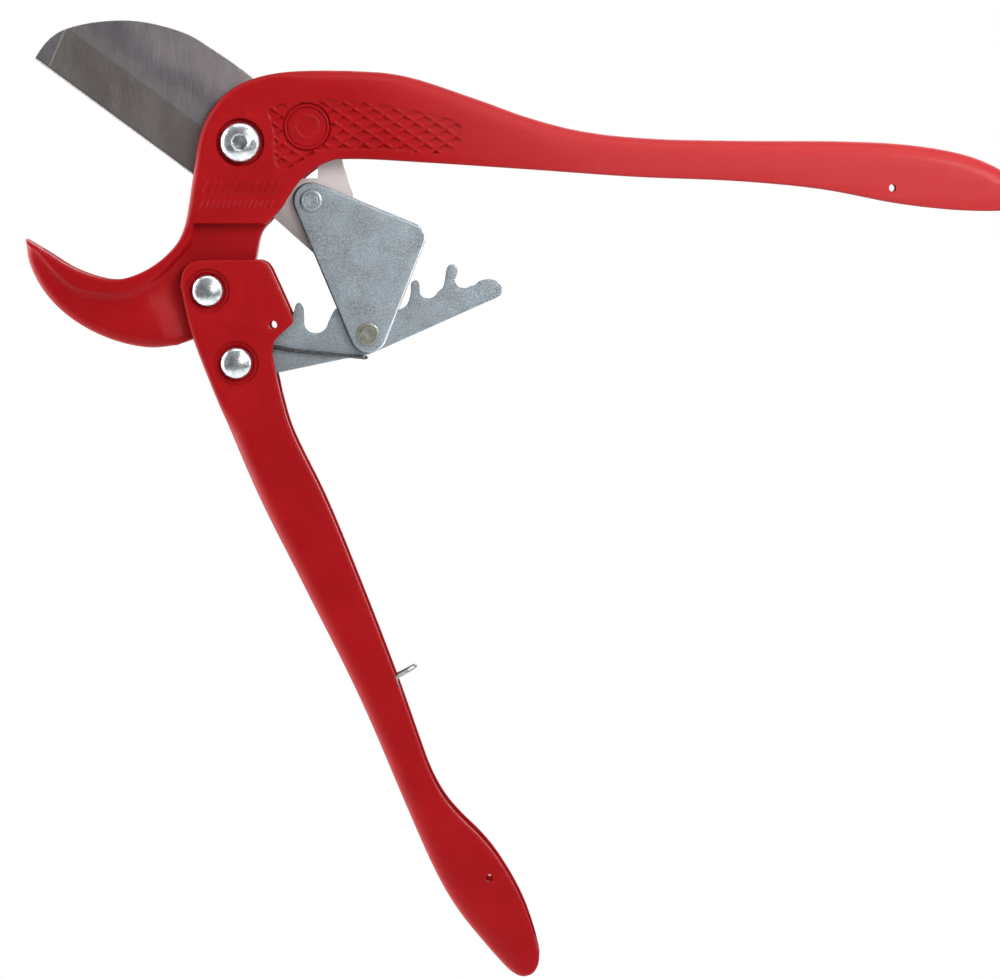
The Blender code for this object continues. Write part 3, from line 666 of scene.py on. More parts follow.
def bronze():
    """Plain bearing bronze."""
    n = material("bearing_bronze")
    colour = n.blend(n.cloud(300, 4), (0.46, 0.28, 0.12), (0.58, 0.38, 0.18))
    return n.finish(Base_Color=colour, Roughness=0.4, Metallic=1)


def floor_white():
    """A matt pale floor with a little light of its own."""
    n = material("pale_floor")
    colour = n.blend(n.cloud(3, 2), (0.56, 0.56, 0.56), (0.6, 0.6, 0.6))
    return n.finish(Base_Color=colour, Roughness=0.9, Metallic=0,
                    Emission_Color=(1, 1, 1), Emission_Strength=0.55)


RED = red_paint()
ZINC = zinc_plate()
STEEL = ground_steel()
BRIGHT = bright_steel()
PIN = pin_steel()
SPRING_WIRE_STEEL = wire_steel("spring_wire", (0.045, 0.05, 0.055), (0.11, 0.115, 0.12))
BAIL_WIRE_STEEL = wire_steel("bail_wire", (0.22, 0.23, 0.24), (0.36, 0.37, 0.38))
BRONZE = bronze()


def coat(piece, surface):
    """Gives a piece one material."""
    piece.data.materials.clear()
    piece.data.materials.append(surface)


def dress(piece, angle, surface, body, node):
    """Shades a piece, gives it its material and body, and hides the node it stands for."""
    shade(piece, angle)
    coat(piece, surface)
    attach(piece, body)
    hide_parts(node)


# ---- upper casting

HOOK_TIP = (-97, -43.2)
HEAD_FOOT = -36.2
HOOK_INNER = [HOOK_TIP, (-86.5, -49.6), (-74, -57), (-58, -61.4), (-44, -57.8), (-32, -49),
    (-25.4, -38)]
HEAD_FRONT = [(-25.4, -38), (-21.4, -15), (-17.6, 5.5), (-8.5, 20.2), (5.5, 28.4), (25, 31.9)]
UPPER_BACK = [(25, 31.9), (53.7, 31.9), (75.3, 29.3), (104, 20), (130, 10.8), (155, 4.7), (185, 1.7),
    (225, 0.8), (270, 0.5), (300, -1.2), (324, -5.5), (340, -12.2), (347, -18.6), (348.4, -22.6)]
UPPER_INNER = [(348.4, -22.6), (347.6, -26.4), (344, -29.4), (337, -30.6), (318, -30), (293, -27),
    (260, -20.8), (222, -17.2), (176.6, -15.3), (130.7, -12.1), (84, -9), (52, -7.3), (39, -8.7),
    (27, -16.7), (18.5, -28.8), (12.5, -35.6), (8.6, -41), (6.4, -51.9)]
HOOK_OUTER = [(-29.2, -90.9), (-42, -91.9), (-56.3, -89.1), (-70, -83.2), (-81.5, -75), (-90, -65.2),
    (-95.5, -54), HOOK_TIP]
LIP_FOOT = [(-20.8, HEAD_FOOT), (-24.4, -46.7), (-39, -61), (-53, -67.6), (-70.8, -66.5), (-81, -60.2),
    (-92.4, -47.4)]
PANEL = [(12, 14.2), (17, 17), (45, 19), (75, 14.7), (95.9, 9.5), (99.2, 3.5), (94, -5), (58, -3),
    (37, -4), (20.2, -12), (15.6, -9), (14.6, 5)]
PANEL_LOOP = np.array(smooth(PANEL + PANEL[:1])[:-1])
PANEL_DEPTH = 1.2
LOZENGE = (9.2, 6.2)
# Each row of dashes: its two levels, its first and last dash, its pitch and a dash's width. A
# pitch is a whole number of steps of the grid below, so that the dashes come out alike.
MARK_ROWS = ((-22.9, -17.3, -2, 8, 3.2, 1.2), (-29.4, -26, -2, 11, 2.4, 0.8))
MARK_HEIGHT = 0.45
MARK_SLANT = 0.45
MARK_GRID = 0.4
MEDAL = (29.8, 6.9)
MEDAL_RADIUS = 10.3
HEAD_SLOT = [(-60, 60), (60, 60), (60, -60), (32, -52), (9, -31.5), (0, -31.5), (-16, -41.5)]
SLOT_HEAD = [(-60, 50), (60, 60), (60, -60), (32, -52), (9, -31.5)]
SLOT_START = 17.5
SLOT_END_ANGLE = 196
BOLT_SEAT = 10.8
BOLT_SEAT_DEPTH = 1.0
TONGUE_END = 22.5
FORK_SWING = 15.4
FLANK_SLOPE = 14.0
HANG_HOLE_UPPER = (291.6, -20.3)
PEG_HOLE = 2.3
PEG_HOLE_HALF = 9.3
ROOF_START = 58.0
HEAD_ROOF = [(20, 28.6), (26, 29.2), (53, 29.2)]
LINK_ROOM = 30.5


def upper_rim():
    """The outline of the upper casting with the rounding of each edge."""
    whole = smooth(HOOK_INNER + HEAD_FRONT[1:] + UPPER_BACK[1:])
    first = (len(HOOK_INNER) - 1) * CURVE_STEPS
    second = first + (len(HEAD_FRONT) - 1) * CURVE_STEPS
    tongue = arc(HANDLE_PIVOT, TONGUE_END, 18, -106, 20)
    return rim_of((whole[:first + 1], 1.6), (whole[first:second + 1], 3.4),
                  (whole[second:], 7.5), (smooth(UPPER_INNER), 1.1), (tongue, 1),
                  (smooth(HOOK_OUTER), 4.6))


def neck():
    """The flat of the neck and the room beside it for the fork."""
    swing = arc(HANDLE_PIVOT, FORK_SWING, 140, 190, 12)
    return (smooth([(-20.8, HEAD_FOOT), (-24.4, -46.7)] + swing[:1]) + swing[1:]
            + [(-26.2, -75), (-22.8, -87), (-17.5, -100), (40, -105), (40, HEAD_FOOT)])


def hook_flank():
    """The flank of the hook, below its lip."""
    return smooth(LIP_FOOT) + [(-99, -42), (-115, -50), (-115, -110), (40, -110), (40, HEAD_FOOT)]


def scales(points):
    """Lozenge pits, deep under their upper corner and rising to the lower one, 1 where flush."""
    x, z = points.T
    u = x / LOZENGE[0] + z / LOZENGE[1]
    v = x / LOZENGE[0] - z / LOZENGE[1]
    u, v = u - np.floor(u), v - np.floor(v)
    to_border = np.minimum(np.minimum(u, 1 - u), np.minimum(v, 1 - v))
    climb = (u + 1 - v) / 2
    return 1 - (0.15 + 0.85 * ease(climb * 1.35 - 0.25)) * ease((to_border - 0.05) / 0.13)


def scale_lattice(loop):
    """Points on the lozenges' own lattice, inside a loop."""
    steps = 16
    first, last = -8 * steps, 18 * steps
    v = np.arange(first, last) / steps
    rows = [np.column_stack([(u + v) / 2 * LOZENGE[0], (u - v) / 2 * LOZENGE[1]]) for u in v]
    points = np.vstack(rows)
    points = points[(points > loop.min(0)).all(1) & (points < loop.max(0)).all(1)]
    return points[depth_in(points, loop) > 0.9]


def cast_marks(points):
    """Two rows of plain slanted dashes below the bolt, 1 on a dash."""
    x, z = points.T
    raised = np.zeros(len(points))
    for low, high, first, last, pitch, width in MARK_ROWS:
        inside = ease((z - low) / 0.5) * ease((high - z) / 0.5)
        along = (x - MARK_SLANT * z) / pitch
        away = np.abs(along - np.clip(np.round(along), first, last)) * pitch
        raised = np.maximum(raised, inside * ease((width / 2 + 0.25 - away) / 0.5))
    return raised


def grid(low, high, step):
    """Loose points over a rectangle."""
    xs = np.arange(low[0], high[0], step)
    zs = np.arange(low[1], high[1], step)
    return np.array([(x, z) for x in xs for z in zs])


def upper_height(points, depth, radius):
    """Half thickness of the upper casting. What divides inside ease() is the width of a step."""
    x, z = points.T
    rise = np.full(len(points), HEAD_HALF)
    rise += MARK_HEIGHT * cast_marks(points)
    from_neck = -depth_in(points, neck())
    flank = TONGUE_HALF + (HOOK_HALF - TONGUE_HALF) * ease(from_neck / FLANK_SLOPE)
    below_lip = depth_in(points, hook_flank())
    softness = 0.9 + 2 * ease((-22 - x) / 18)
    softness = np.where(z > HEAD_FOOT - 1.5, 0.7, softness)
    share = ease((below_lip + 0.3 * softness) / softness)
    rise = rise * (1 - share) + flank * share
    from_bolt = away_from(MAIN_PIVOT, points)
    rise -= BOLT_SEAT_DEPTH * ease((BOLT_SEAT + 0.1 - from_bolt) / 0.35)
    rise -= BOLT_SEAT_DEPTH * ease((BOLT_SEAT - 0.3 - from_bolt) / 0.4)
    inside = depth_in(points, PANEL_LOOP)
    sunk = ease((inside + 0.2) / 0.8)
    from_medal = away_from(MEDAL, points)
    texture = scales(points) * ease((from_medal - MEDAL_RADIUS - 0.2) / 0.5)
    ring = ease((MEDAL_RADIUS - from_medal) / 0.45) * ease((from_medal - MEDAL_RADIUS + 1.5) / 0.45)
    inner_ring = ease((1 - np.abs(from_medal - 0.5 * MEDAL_RADIUS)) / 0.5)
    disc = 0.45 * ease((MEDAL_RADIUS - 1.3 - from_medal) / 0.5) + 0.4 * inner_ring
    rise -= sunk * PANEL_DEPTH * (1 - 0.92 * np.maximum(np.maximum(texture, ring), disc))
    in_neck = ease((4 - from_neck) / 6) * share
    return rise - rim_drop(depth, radius * (1 - 0.5 * in_neck))


def blade_slot():
    """What the blade sweeps from fully open to fully closed."""
    clearance = 1.5
    offset = EDGE_OFFSET + clearance
    reach = BLADE_REACH + clearance
    closed = EDGE_ANGLE + CLOSING_ANGLE
    foot = polar(MAIN_PIVOT, offset, closed + 90)
    tip = polar(foot, sqrt(reach * reach - offset * offset), closed)
    swing = arc(MAIN_PIVOT, reach, BLADE_TIP_ANGLE + CLOSING_ANGLE, SLOT_END_ANGLE, 24)
    return [polar(foot, SLOT_START, closed), tip] + swing[1:] + SLOT_HEAD


def upper_channel():
    """The hollow of the upper casting, open below, with a thin roof over the link."""
    roof = [tuple(p) for p in sideways(smooth(UPPER_BACK), WEB) if p[0] > ROOF_START]
    room = arc(MAIN_PIVOT, LINK_ROOM, -52, 62, 40)
    return room + HEAD_ROOF + roof + [(341, -45), (26, -45)]


def upper_casting():
    """Head, hook, neck and upper handle."""
    loop = upper_rim()
    foot = spaced(smooth(LIP_FOOT), 1)
    lines = bands(foot, (-1, -0.4, 0, 0.4, 0.9, 1.5, 2.1))
    lines += bands(spaced([(-21, HEAD_FOOT), (20, HEAD_FOOT)], 1),
                   (-1.2, -0.6, -0.3, -0.1, 0.2, 0.5, 0.9))
    lines += rings(MAIN_PIVOT, [BOLT_SEAT + offset for offset in (-0.7, -0.4, -0.2, 0.1)])
    lines += rings(MEDAL, [MEDAL_RADIUS + offset for offset in (-1.6, -1.3, -0.9, -0.4, 0, 0.3, 0.7)])
    lines += rings(MEDAL, (4.1, 4.6, 5.1, 5.7, 6.2), 64)
    rim = spaced(np.vstack([PANEL_LOOP, PANEL_LOOP[:1]]), 0.8)[:-1]
    lines += bands(rim, (-0.9, -0.5, -0.2, 0.1, 0.35, 0.6, 0.9), closed=True)
    marks = grid((-9.2, -30.6), (30, -15.6), MARK_GRID)
    marks[:, 0] += MARK_SLANT * marks[:, 1]
    loose = np.vstack([grid((-100, -95), (-15, -37), 2.5), grid((-15, -60), (350, 35), 6),
                       marks, scale_lattice(PANEL_LOOP)])
    piece = relief("upper_casting", loop, upper_height, lines, loose)
    carve(piece, [slab(blade_slot(), HOOK_SLOT_HALF), slab(HEAD_SLOT, HEAD_SLOT_HALF),
                  slab(upper_channel(), UPPER_CHANNEL_HALF),
                  hole(MAIN_PIVOT, SHANK + GAP), hole(HANDLE_PIVOT, SHANK + GAP),
                  hole(HANG_HOLE_UPPER, HANG_HOLE_RADIUS),
                  hole(LATCH_PEG, PEG_HOLE, half=PEG_HOLE_HALF)])
    dress(piece, 32, RED, "frame", "frame_casting")


# ---- lower handle

FORK_TOP = [(-27.4, -63.8), (-25.8, -57.2), (-21.3, -53.2), (-14, -52.5)]
FORK_CORNER = [(8.4, -52.5), (11.4, -53.8), (13.4, -56.4)]
FORK_HEEL = [(23.1, -77.9), (23.3, -80.2), (21.9, -82.2), (17.7, -85.8), (14.8, -89.4), (14.2, -94.4)]
LOWER_INNER = [(15.5, -103), (18.7, -117), (23.6, -131.7), (38.2, -161.9), (54.8, -202.9),
    (68.9, -239.7), (79.2, -269), (83.3, -280.4), (87.4, -289.2), (92.4, -297), (98.8, -304.2),
    (106.2, -311.4), (113, -319.4), (120.2, -330.4), (126.2, -342), (130.8, -354.6), (133.6, -365.8),
    (133.4, -370.4), (131.2, -374.2), (128.2, -375.8), (126.1, -376.1)]
LOWER_OUTER = [(126.1, -376.1), (123.6, -375.5), (119.5, -372.8), (110.7, -363.2), (97.2, -346.4),
    (87, -328.9), (75, -302), (53, -250.5), (27.5, -199), (8, -160), (-7.4, -123.8), (-21.8, -87.2),
    (-27.4, -63.8)]
FORK_ROOT = -95.0
SPOT_FACE = 9.9
SPOT_FACE_DEPTH = 0.6
HEAD_GROOVE = 8.2
HANG_HOLE_LOWER = (111.4, -330.9)
FORK_EYE = (14.4, -81.6)
FORK_EYE_RADIUS = 1.9
BAIL_WIRE = 1.0
BAIL_SOCKET = 2.7


def lower_rim():
    """The outline of the lower handle with the rounding of each edge."""
    outer = smooth(LOWER_OUTER)
    head = (len(LOWER_OUTER) - 3) * CURVE_STEPS
    corner = smooth(FORK_HEEL + [LOWER_INNER[0]], 4)
    return rim_of((smooth(FORK_TOP), 1.5), ([FORK_TOP[-1], FORK_CORNER[0]], 1.3),
                  (smooth(FORK_CORNER), 1.2), ([FORK_CORNER[-1], FORK_HEEL[0]], 1.1),
                  (corner, 1), (smooth(LOWER_INNER), 1.1), (outer[:head + 1], 7.5),
                  (outer[head:], 2.4))


def lower_channel():
    """The hollow of the lower handle: a through fork at its head, then open on one side."""
    web = sideways(smooth(LOWER_OUTER), WEB)
    inside = [tuple(p) for p in web if -370 < p[1] < FORK_ROOT - 2]
    return ([(128, -370), (130, -360), (152, -350), (150, -340),
             (112, -290), (100, -240), (60, -140), (45, -40), (-45, -40),
             (-45, FORK_ROOT), (-15.2, FORK_ROOT)] + inside[::-1])


def lower_height(points, depth, radius):
    """Half thickness of the lower handle."""
    rise = np.full(len(points), LOWER_HALF)
    for centre in (HANDLE_PIVOT, RACK_PIVOT):
        away = away_from(centre, points)
        rise -= SPOT_FACE_DEPTH * ease((SPOT_FACE + 0.1 - away) / 0.35)
        rise -= SPOT_FACE_DEPTH * ease((HEAD_GROOVE - away) / 0.5)
    return rise - rim_drop(depth, radius)


def lower_casting():
    """The moving handle with its fork."""
    radii = [HEAD_GROOVE - 0.5, HEAD_GROOVE - 0.25, HEAD_GROOVE, SPOT_FACE - 0.25,
             SPOT_FACE - 0.1, SPOT_FACE + 0.1]
    piece = relief("lower_casting", lower_rim(), lower_height,
                   rings(HANDLE_PIVOT, radii) + rings(RACK_PIVOT, radii),
                   grid((-30, -376), (136, -50), 6))
    carve(piece, [slab(lower_channel(), LOWER_CHANNEL_HALF),
                  hole(HANDLE_PIVOT, SHANK + GAP), hole(RACK_PIVOT, SHANK + GAP),
                  hole(FORK_EYE, FORK_EYE_RADIUS), hole(HANG_HOLE_LOWER, HANG_HOLE_RADIUS),
                  hole(BAIL_PIVOT, BAIL_WIRE + GAP, 24, LOWER_CHANNEL_HALF + BAIL_SOCKET)])
    dress(piece, 32, RED, "lower_handle", "lower_handle")


# ---- blade

BLADE_SPINE = [(-93.2, 37.6), (-90, 42.6), (-85.6, 47.2), (-79.2, 50.8), (-67.9, 53.6), (-55, 54.7),
    (-43.8, 54), (-31.7, 51.2), (-22.1, 47.6), (-13.2, 42), (-3.6, 35.6), (5.3, 28.9), (16, 20),
    (26, 8)]
BLADE_HORN = [(27.4, -11), (27.4, -16), (34.3, -16), (34.3, -3.9), (44, -3.9), (45.6, -9.9),
    (50.4, -23.6), (45, -31), (39.5, -40), (36.2, -50.2), (35.2, -52.3)]
BLADE_TAIL_EDGE = [(34.1, -51.2), (15.2, -34.3), (8, -28), (-2, -23.6)]
BEVEL_WIDTH = 20.0
EDGE_HALF = 0.2
HONED_HALF = 0.04
EDGE_TIP_HALF = 0.03
TIP_SLOPE = 0.1
MICRO_BEVEL = 1.3
BLADE_BORE = 7.3


def blade_height(points, depth, radius):
    """Half thickness of the blade: two ground flats, a facet at the tip and a honed edge."""
    along = np.array([cos(radians(EDGE_ANGLE)), sin(radians(EDGE_ANGLE))])
    inward = np.array([along[1], -along[0]])
    from_foot = points - np.array(EDGE_FOOT)
    from_edge = from_foot @ inward
    on_edge = from_foot @ along > 3
    slope = (BLADE_HALF - EDGE_HALF) / BEVEL_WIDTH
    ground = EDGE_HALF + slope * from_edge
    honed = HONED_HALF + (EDGE_HALF + slope * MICRO_BEVEL - HONED_HALF) / MICRO_BEVEL * from_edge
    rise = np.where(on_edge, np.minimum(np.minimum(ground, honed), BLADE_HALF), BLADE_HALF)
    top, low = (np.array(p) for p in TIP_FACET)
    line = (low - top) / np.linalg.norm(low - top)
    outward = np.array([line[1], -line[0]])
    past = (points - top) @ outward
    rise = np.minimum(rise, BLADE_HALF - TIP_SLOPE * np.maximum(past + 0.4, 0))
    rim = np.where(on_edge & (from_edge < 1), 0, rim_drop(depth, radius))
    return np.maximum(rise - rim, EDGE_TIP_HALF)


def cutting_blade():
    """The blade with its bore and its link hole."""
    edge = [EDGE_FOOT, BLADE_SPINE[0]]
    loop = rim_of((smooth(BLADE_SPINE), 0.35), (BLADE_HORN, 0.25),
                  (BLADE_TAIL_EDGE + edge[:1], 0.25), (edge, 0.02))
    edge = spaced(edge, 1.2)
    lines = bands(edge, (0.4, MICRO_BEVEL, BEVEL_WIDTH))
    lines += bands(edge, (-0.4, -MICRO_BEVEL, -BEVEL_WIDTH))
    lines.append((spaced(TIP_FACET, 0.8), None, False))
    piece = relief("cutting_blade", loop, blade_height, lines, grid((-95, -56), (52, 56), 4))
    carve(piece, [hole(MAIN_PIVOT, BLADE_BORE, half=5), hole(LINK_PIVOT, PIN_SHANK + GAP, half=5)])
    dress(piece, 4, STEEL, "blade", "blade")


# ---- link and rack


LINK_EYE = 8.2
LINK_FOOT = 8.5
LINK_CORNER = (76.7, -42.1)
LINK_CORNER_RADIUS = 6.0
LINK_WEB_START = 54.5
LINK_WEB_FOOT = -38.0
FOLD_ROUNDING = 1.4


def link_cheeks():
    """Two zinc plates folded from one sheet, joined by a narrow web."""
    hull = round_hull([(LINK_PIVOT, LINK_EYE), (NOTCH_PIN, LINK_FOOT),
                       (LINK_CORNER, LINK_CORNER_RADIUS)])
    loop = rim_of((hull + hull[:1], 1), spacing=1)
    web_side = (loop[:, 0] > LINK_WEB_START) & (loop[:, 1] > LINK_WEB_FOOT)
    loop[web_side, 2] = FOLD_ROUNDING
    piece = relief("link_cheeks", loop, flat_plate(LINK_HALF), (), grid((20, -96), (85, -15), 5))
    edge = Vector(LINK_CORNER) - Vector(LINK_PIVOT)
    normal = Vector((-edge.y, edge.x)).normalized()
    inner = LINK_CORNER_RADIUS - LINK_HALF + LINK_INNER
    along = edge.normalized()
    first = Vector(LINK_CORNER) + normal * inner + along * 2
    last = first - along * ((first.x - LINK_WEB_START) / along.x)
    gap = [tuple(first), tuple(last), (LINK_WEB_START, 20), (0, 20), (0, -120),
           (110, -120), (110, -45)]
    carve(piece, [slab(gap, LINK_INNER), hole(LINK_PIVOT, PIN_SHANK + GAP, half=9),
                  hole(NOTCH_PIN, PIN_SHANK + GAP, half=9)])
    dress(piece, 25, ZINC, "link", "link_yoke")


RACK_TAIL_RADIUS = 8.1
RACK_TOP = [(14, -88), (20, -82.5), (23.2, -76), (24.2, -72.8), (25.6, -71.8), (27.2, -72.6), (28, -75),
    (28.2, -81)]
RACK_FIRST_SHOULDER = [(38.6, -81), (41.2, -75.7), (43.3, -74.1), (50, -73.4), (51.8, -74),
    (52.6, -75.6), (52.7, -86.6)]
RACK_SECOND_SHOULDER = [(64, -85.6), (66.4, -79.5), (70, -75.4), (74, -73), (75.8, -68), (76, -63.6),
    (77, -62), (78.8, -61.8), (80, -63.2), (80.2, -66.4)]
RACK_THIRD_SHOULDER = [(88.2, -66.8), (90.4, -64.8), (91.4, -60.6), (92, -56.6), (93.6, -54.8),
    (95.6, -54.8), (97.1, -56.4), (97, -58.6), (95.8, -61.4)]
RACK_NOSE = [(104.6, -64), (107, -62), (110.6, -61.2), (114.6, -62), (117, -64.6), (116.6, -68),
    (114, -69.8), (102.9, -74.7), (62.7, -92.7), (57, -95), (46.2, -97)]


def notched_rack():
    """The notched zinc plate."""
    tail = arc(RACK_PIVOT, RACK_TAIL_RADIUS, -78, -275, 30)
    outline = (smooth([tail[-1]] + RACK_TOP, 6)
               + arc((33.4, -80.2), 5.3, 190, 350, 16) + smooth(RACK_FIRST_SHOULDER, 4)
               + arc((58.3, -85), 5.7, 190, 352, 16) + smooth(RACK_SECOND_SHOULDER, 4)
               + arc((84.1, -65.7), 4.1, 190, 340, 14) + smooth(RACK_THIRD_SHOULDER, 4)
               + arc((100.2, -61), 4.2, 190, 312, 12) + smooth(RACK_NOSE[:7], 4)
               + RACK_NOSE[7:] + tail)
    loop = rim_of((outline, 0.3), spacing=0.7)
    piece = relief("notched_rack", loop, flat_plate(RACK_HALF), (), grid((-12, -108), (120, -52), 4))
    carve(piece, [hole(RACK_PIVOT, SHANK + GAP, half=5)])
    dress(piece, 25, ZINC, "rack", "rack")


# ---- wires

SPRING_WIRE = 0.9
SPRING_RADIUS = 7.4
SPRING_LEG_ANGLE = 90.0
SPRING_TAIL_ANGLE = 600.0
SPRING_TAIL_LENGTH = 14.0
BAIL_ARM = 76.5
BAIL_ARM_HALF = 5.4
BAIL_TIP_HALF = 3.2
BAIL_TIP_REACH = 9.5
BAIL_ANGLE = 107.6
BAIL_TIP_ANGLE = 30.3


def rack_spring():
    """A torsion spring round the front spacer, one leg along the rack and hooked under it."""
    front = RACK_HALF + GAP + SPRING_WIRE
    pitch = 2 * SPRING_WIRE + GAP
    turn = SPRING_TAIL_ANGLE - SPRING_LEG_ANGLE
    count = 90
    coil = []
    for i in range(1, count + 1):
        x, z = polar(RACK_PIVOT, SPRING_RADIUS, SPRING_LEG_ANGLE + turn * i / count)
        coil.append((x, -front - pitch * turn * i / count / 360, z))
    top_x, top_z = polar(RACK_PIVOT, SPRING_RADIUS, SPRING_LEG_ANGLE)
    leg = smooth([(55.6, 2.4, -96.5), (55.6, -1.2, -96.5), (55, -2.7, -96.4),
                  (53.2, -front, -96.2), (40, -front, -94.9), (21.9, -front, -93),
                  (14.9, -front, -91.7), (7, -front, -91.3), (top_x, -front, top_z)], 6)
    end = polar(RACK_PIVOT, SPRING_RADIUS, SPRING_TAIL_ANGLE)
    x, z = polar(end, SPRING_TAIL_LENGTH, SPRING_TAIL_ANGLE + 90)
    piece = tube("rack_spring_wire", leg + coil + [(x, coil[-1][1], z)], SPRING_WIRE)
    shade(piece, 50)
    coat(piece, SPRING_WIRE_STEEL)
    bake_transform(piece)
    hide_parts("rack_spring")


def lock_bail():
    """The wire bail in the lower channel, with its bent tip standing out."""
    end = polar(BAIL_PIVOT, BAIL_ARM, BAIL_ANGLE)
    foot = LOWER_CHANNEL_HALF + 2.4
    reaches = ((0, foot), (0, BAIL_ARM_HALF + 1.4), (2.5, BAIL_ARM_HALF),
               (20, BAIL_ARM_HALF), (45, BAIL_ARM_HALF), (BAIL_ARM - 3, BAIL_ARM_HALF - 0.4))
    side = [(*polar(BAIL_PIVOT, reach, BAIL_ANGLE), half) for reach, half in reaches]
    for reach, half in ((1.4, 4.6), (5, 4), (8.2, BAIL_TIP_HALF), (BAIL_TIP_REACH + 1, 1.8)):
        side.append((*polar(end, reach, BAIL_TIP_ANGLE), half))
    crown = polar(end, BAIL_TIP_REACH + 1.4, BAIL_TIP_ANGLE)
    path = [(x, -y, z) for x, z, y in side] + [(crown[0], 0, crown[1])]
    path += [(x, y, z) for x, z, y in reversed(side)]
    piece = tube("lock_bail_wire", smooth(path, 5), BAIL_WIRE)
    dress(piece, 50, BAIL_WIRE_STEEL, "lock_bail", "lock_bail")


# ---- fasteners

RIVET_HEAD = 7.0
BOLT_HEAD = 8.9
LINK_RIVET_HEAD = 4.8
NOTCH_PIN_HEAD = 5.1
SOCKET_RADIUS = 3.6
SOCKET_DEPTH = 3.2


def dome(radius, base, height, steps=14):
    """Profile of a domed head from its rim to its crown, away from the middle plane."""
    angles = [radians(90 * i / steps) for i in range(steps + 1)]
    profile = [(radius * cos(angle), base + height * sin(angle)) for angle in angles]
    profile[-1] = (0, base + height)
    return profile


def both_ends(half):
    """A profile mirrored in the middle plane."""
    return [(radius, -depth) for radius, depth in reversed(half)] + half


def domed_rivet(node, centre):
    """A rivet with a domed head on each side."""
    under = LOWER_HALF - SPOT_FACE_DEPTH + GAP
    top = half_of(node)
    half = [(SHANK, under), (RIVET_HEAD - 0.2, under), (RIVET_HEAD, under + 0.2)]
    half += dome(RIVET_HEAD, under + 0.5, top - under - 0.5)
    piece = turned(node + "_heads", both_ends(half), centre)
    dress(piece, 50, BRIGHT, "lower_handle", node)


def socket_bolt():
    """The button head bolt with its hexagon socket."""
    low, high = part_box("pivot_bolt")
    under = HEAD_HALF - BOLT_SEAT_DEPTH + GAP
    top = -low.y / MM
    half = [(SHANK, under), (BOLT_HEAD - 0.3, under), (BOLT_HEAD, under + 0.3)]
    crown = dome(BOLT_HEAD, under + 0.9, top - under - 0.9)
    end = high.y / MM
    profile = [(r, -d) for r, d in reversed(half + crown)]
    profile += [(SHANK, end - 1), (SHANK - 0.9, end), (0, end)]
    piece = turned("socket_bolt", profile, MAIN_PIVOT)
    socket = prism("socket", circle(MAIN_PIVOT, SOCKET_RADIUS, 6), -THROUGH, SOCKET_DEPTH - top)
    flare = turned("flare", [(0, -top - 2), (6.2, -top - 2), (3.1, -top + 1.1), (0, -top + 1.1)],
                   MAIN_PIVOT)
    carve(piece, [socket, flare])
    dress(piece, 35, BRIGHT, "frame", "pivot_bolt")


def hexagon_nut():
    """The nut on the rear end of the bolt, chamfered on both faces."""
    low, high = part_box("pivot_nut")
    near, far = low.y / MM, high.y / MM
    radius = (high.x - low.x) / 2 / MM
    flat = radius * cos(pi / 6)
    piece = prism("hexagon_nut", circle(MAIN_PIVOT, radius, 6), near, far)
    chamfer = turned("chamfer", [(0, near), (flat, near), (radius + 0.1, near + 1),
                                 (radius + 0.1, far - 1.2), (flat, far), (0, far)], MAIN_PIVOT)
    carve(piece, [chamfer], "INTERSECT")
    carve(piece, [prism("bore", circle(MAIN_PIVOT, SHANK + GAP), near - 5, far + 5)])
    dress(piece, 25, BRIGHT, "frame", "pivot_nut")


def flush_pin(node, centre, head, surface, body):
    """A pin with two thin ends, each with a fine ring groove."""
    top = half_of(node)
    under = LINK_HALF + GAP
    half = [(PIN_SHANK, under), (head, under), (head, top - 0.25), (head - 0.3, top - 0.05),
            (head - 0.9, top), (head - 1.3, top), (head - 1.5, top - 0.2), (head - 1.7, top),
            (0.8, top), (0, top - 0.1)]
    piece = turned(node + "_ends", both_ends(half), centre, 48)
    dress(piece, 40, surface, body, node)


def peg():
    """The latch peg in the upper channel."""
    low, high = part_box("latch_peg")
    reach = high.y / MM
    radius = (high.x - low.x) / 2 / MM
    half = [(radius, reach - 0.3), (radius - 0.3, reach), (0, reach)]
    piece = turned("latch_peg_pin", both_ends(half), LATCH_PEG, 32)
    dress(piece, 35, BRIGHT, "frame", "latch_peg")


def kept_nodes():
    """Gives the washers, spacers and the bush their finish."""
    for name, node in frame["nodes"].items():
        if "washer" in name or "spacer" in name:
            coat(node, BRIGHT)
        elif "bush" in name:
            coat(node, BRONZE)


# ---- studio

FLOOR_REACH = 1.3
FLOOR_LEVEL = -0.62
SIDE_LIGHT = 0.36
FRONT_LIGHT = 0.165
LIFT = 1.15


def aim(thing, target):
    """Points a light or a camera at a place."""
    thing.rotation_euler = (Vector(target) - thing.location).to_track_quat("-Z", "Y").to_euler()


def softbox(name, place, target, size, power):
    """A large soft light."""
    light = bpy.data.lights.new(name, "AREA")
    light.shape = "RECTANGLE"
    light.size, light.size_y = size
    light.energy = power
    lamp = add_object(name, light)
    lamp.location = place
    lamp.visible_camera = False
    aim(lamp, target)


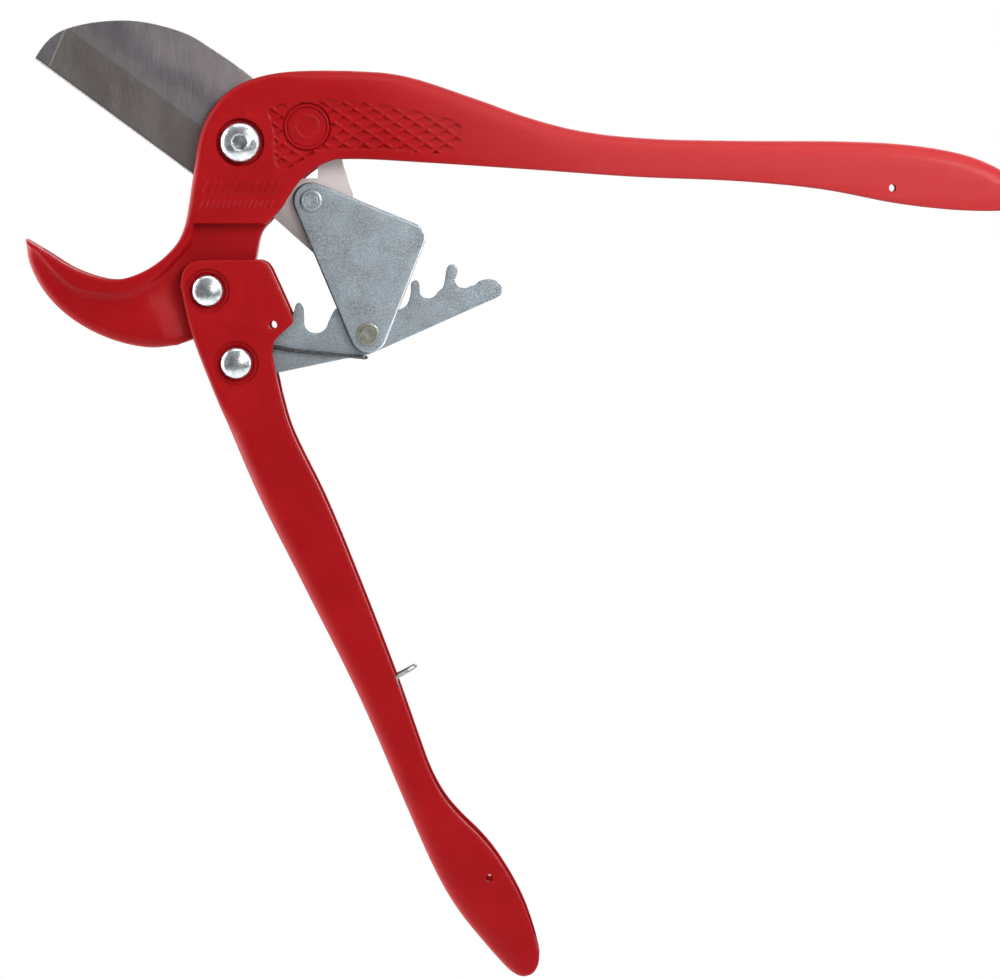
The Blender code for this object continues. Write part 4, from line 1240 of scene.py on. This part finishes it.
def white_surroundings():
    """White to the eye, while the tool sees pale sides, a grey front and a dim floor."""
    world = bpy.data.worlds.new("studio")
    bpy.context.scene.world = world
    n = Nodes(world)
    parts = n.parts(n.coordinates["Generated"])
    to_side = n.math("SUBTRACT", 1, n.math("ABSOLUTE", parts["Y"]))
    side = n.math("MULTIPLY", to_side, SIDE_LIGHT)
    shaped = n.math("MULTIPLY", side, n.math("ADD", parts["Z"], LIFT))
    level = n.math("ADD", shaped, FRONT_LIGHT)
    rays = n.add("ShaderNodeLightPath").outputs["Is Camera Ray"]
    background = n.tree.nodes["Background"].inputs
    n.feed(background["Strength"], n.math("MAXIMUM", level, rays))
    n.feed(background["Color"], (1, 1, 1))


def floor():
    """A round pale floor well below the tool."""
    mesh = bpy.data.meshes.new("floor")
    rim = [(x, y, FLOOR_LEVEL) for x, y in circle((0, 0), FLOOR_REACH, 96)]
    mesh.from_pydata(rim, [], [range(len(rim))])
    mesh.materials.append(floor_white())
    add_object("floor", mesh)


def camera():
    """A long lens at the front of the tool, a little above it and to its right."""
    lens = bpy.data.cameras.new("camera")
    eye = add_object("camera", lens)
    lens.sensor_width = 36
    lens.lens = 168
    eye.location = (-0.109, -2.1, -0.015)
    aim(eye, (-0.154, 0, -0.145))
    bpy.context.scene.camera = eye


def studio():
    """Camera, lights, floor and surroundings."""
    camera()
    white_surroundings()
    floor()
    middle = (-0.12, 0, -0.12)
    softbox("left_box", (-1.3, 0.22, -0.05), middle, (1.5, 2), 54)
    softbox("key_box", (0.34, -0.6, 0.42), (0, 0, -0.02), (0.4, 0.4), 10.5)
    softbox("haze_box", (0.15, -1.3, 0.13), (0, 0, -0.02), (0.3, 0.3), 3)
    softbox("top_box", (-0.1, -0.3, 1.3), middle, (1.4, 0.6), 8)
    softbox("right_box", (1.5, -0.35, 0.1), middle, (1, 1.4), 6)
    softbox("back_box", (0.3, 1.6, 0.5), middle, (1.4, 1.4), 14)
    bpy.context.scene.view_settings.view_transform = "Standard"


# ---- assembly

studio()
upper_casting()
lower_casting()
cutting_blade()
link_cheeks()
notched_rack()
rack_spring()
lock_bail()
socket_bolt()
hexagon_nut()
domed_rivet("handle_rivet", HANDLE_PIVOT)
domed_rivet("rack_rivet", RACK_PIVOT)
flush_pin("link_rivet", LINK_PIVOT, LINK_RIVET_HEAD, ZINC, "blade")
flush_pin("notch_pin", NOTCH_PIN, NOTCH_PIN_HEAD, PIN, "link")
peg()
kept_nodes()
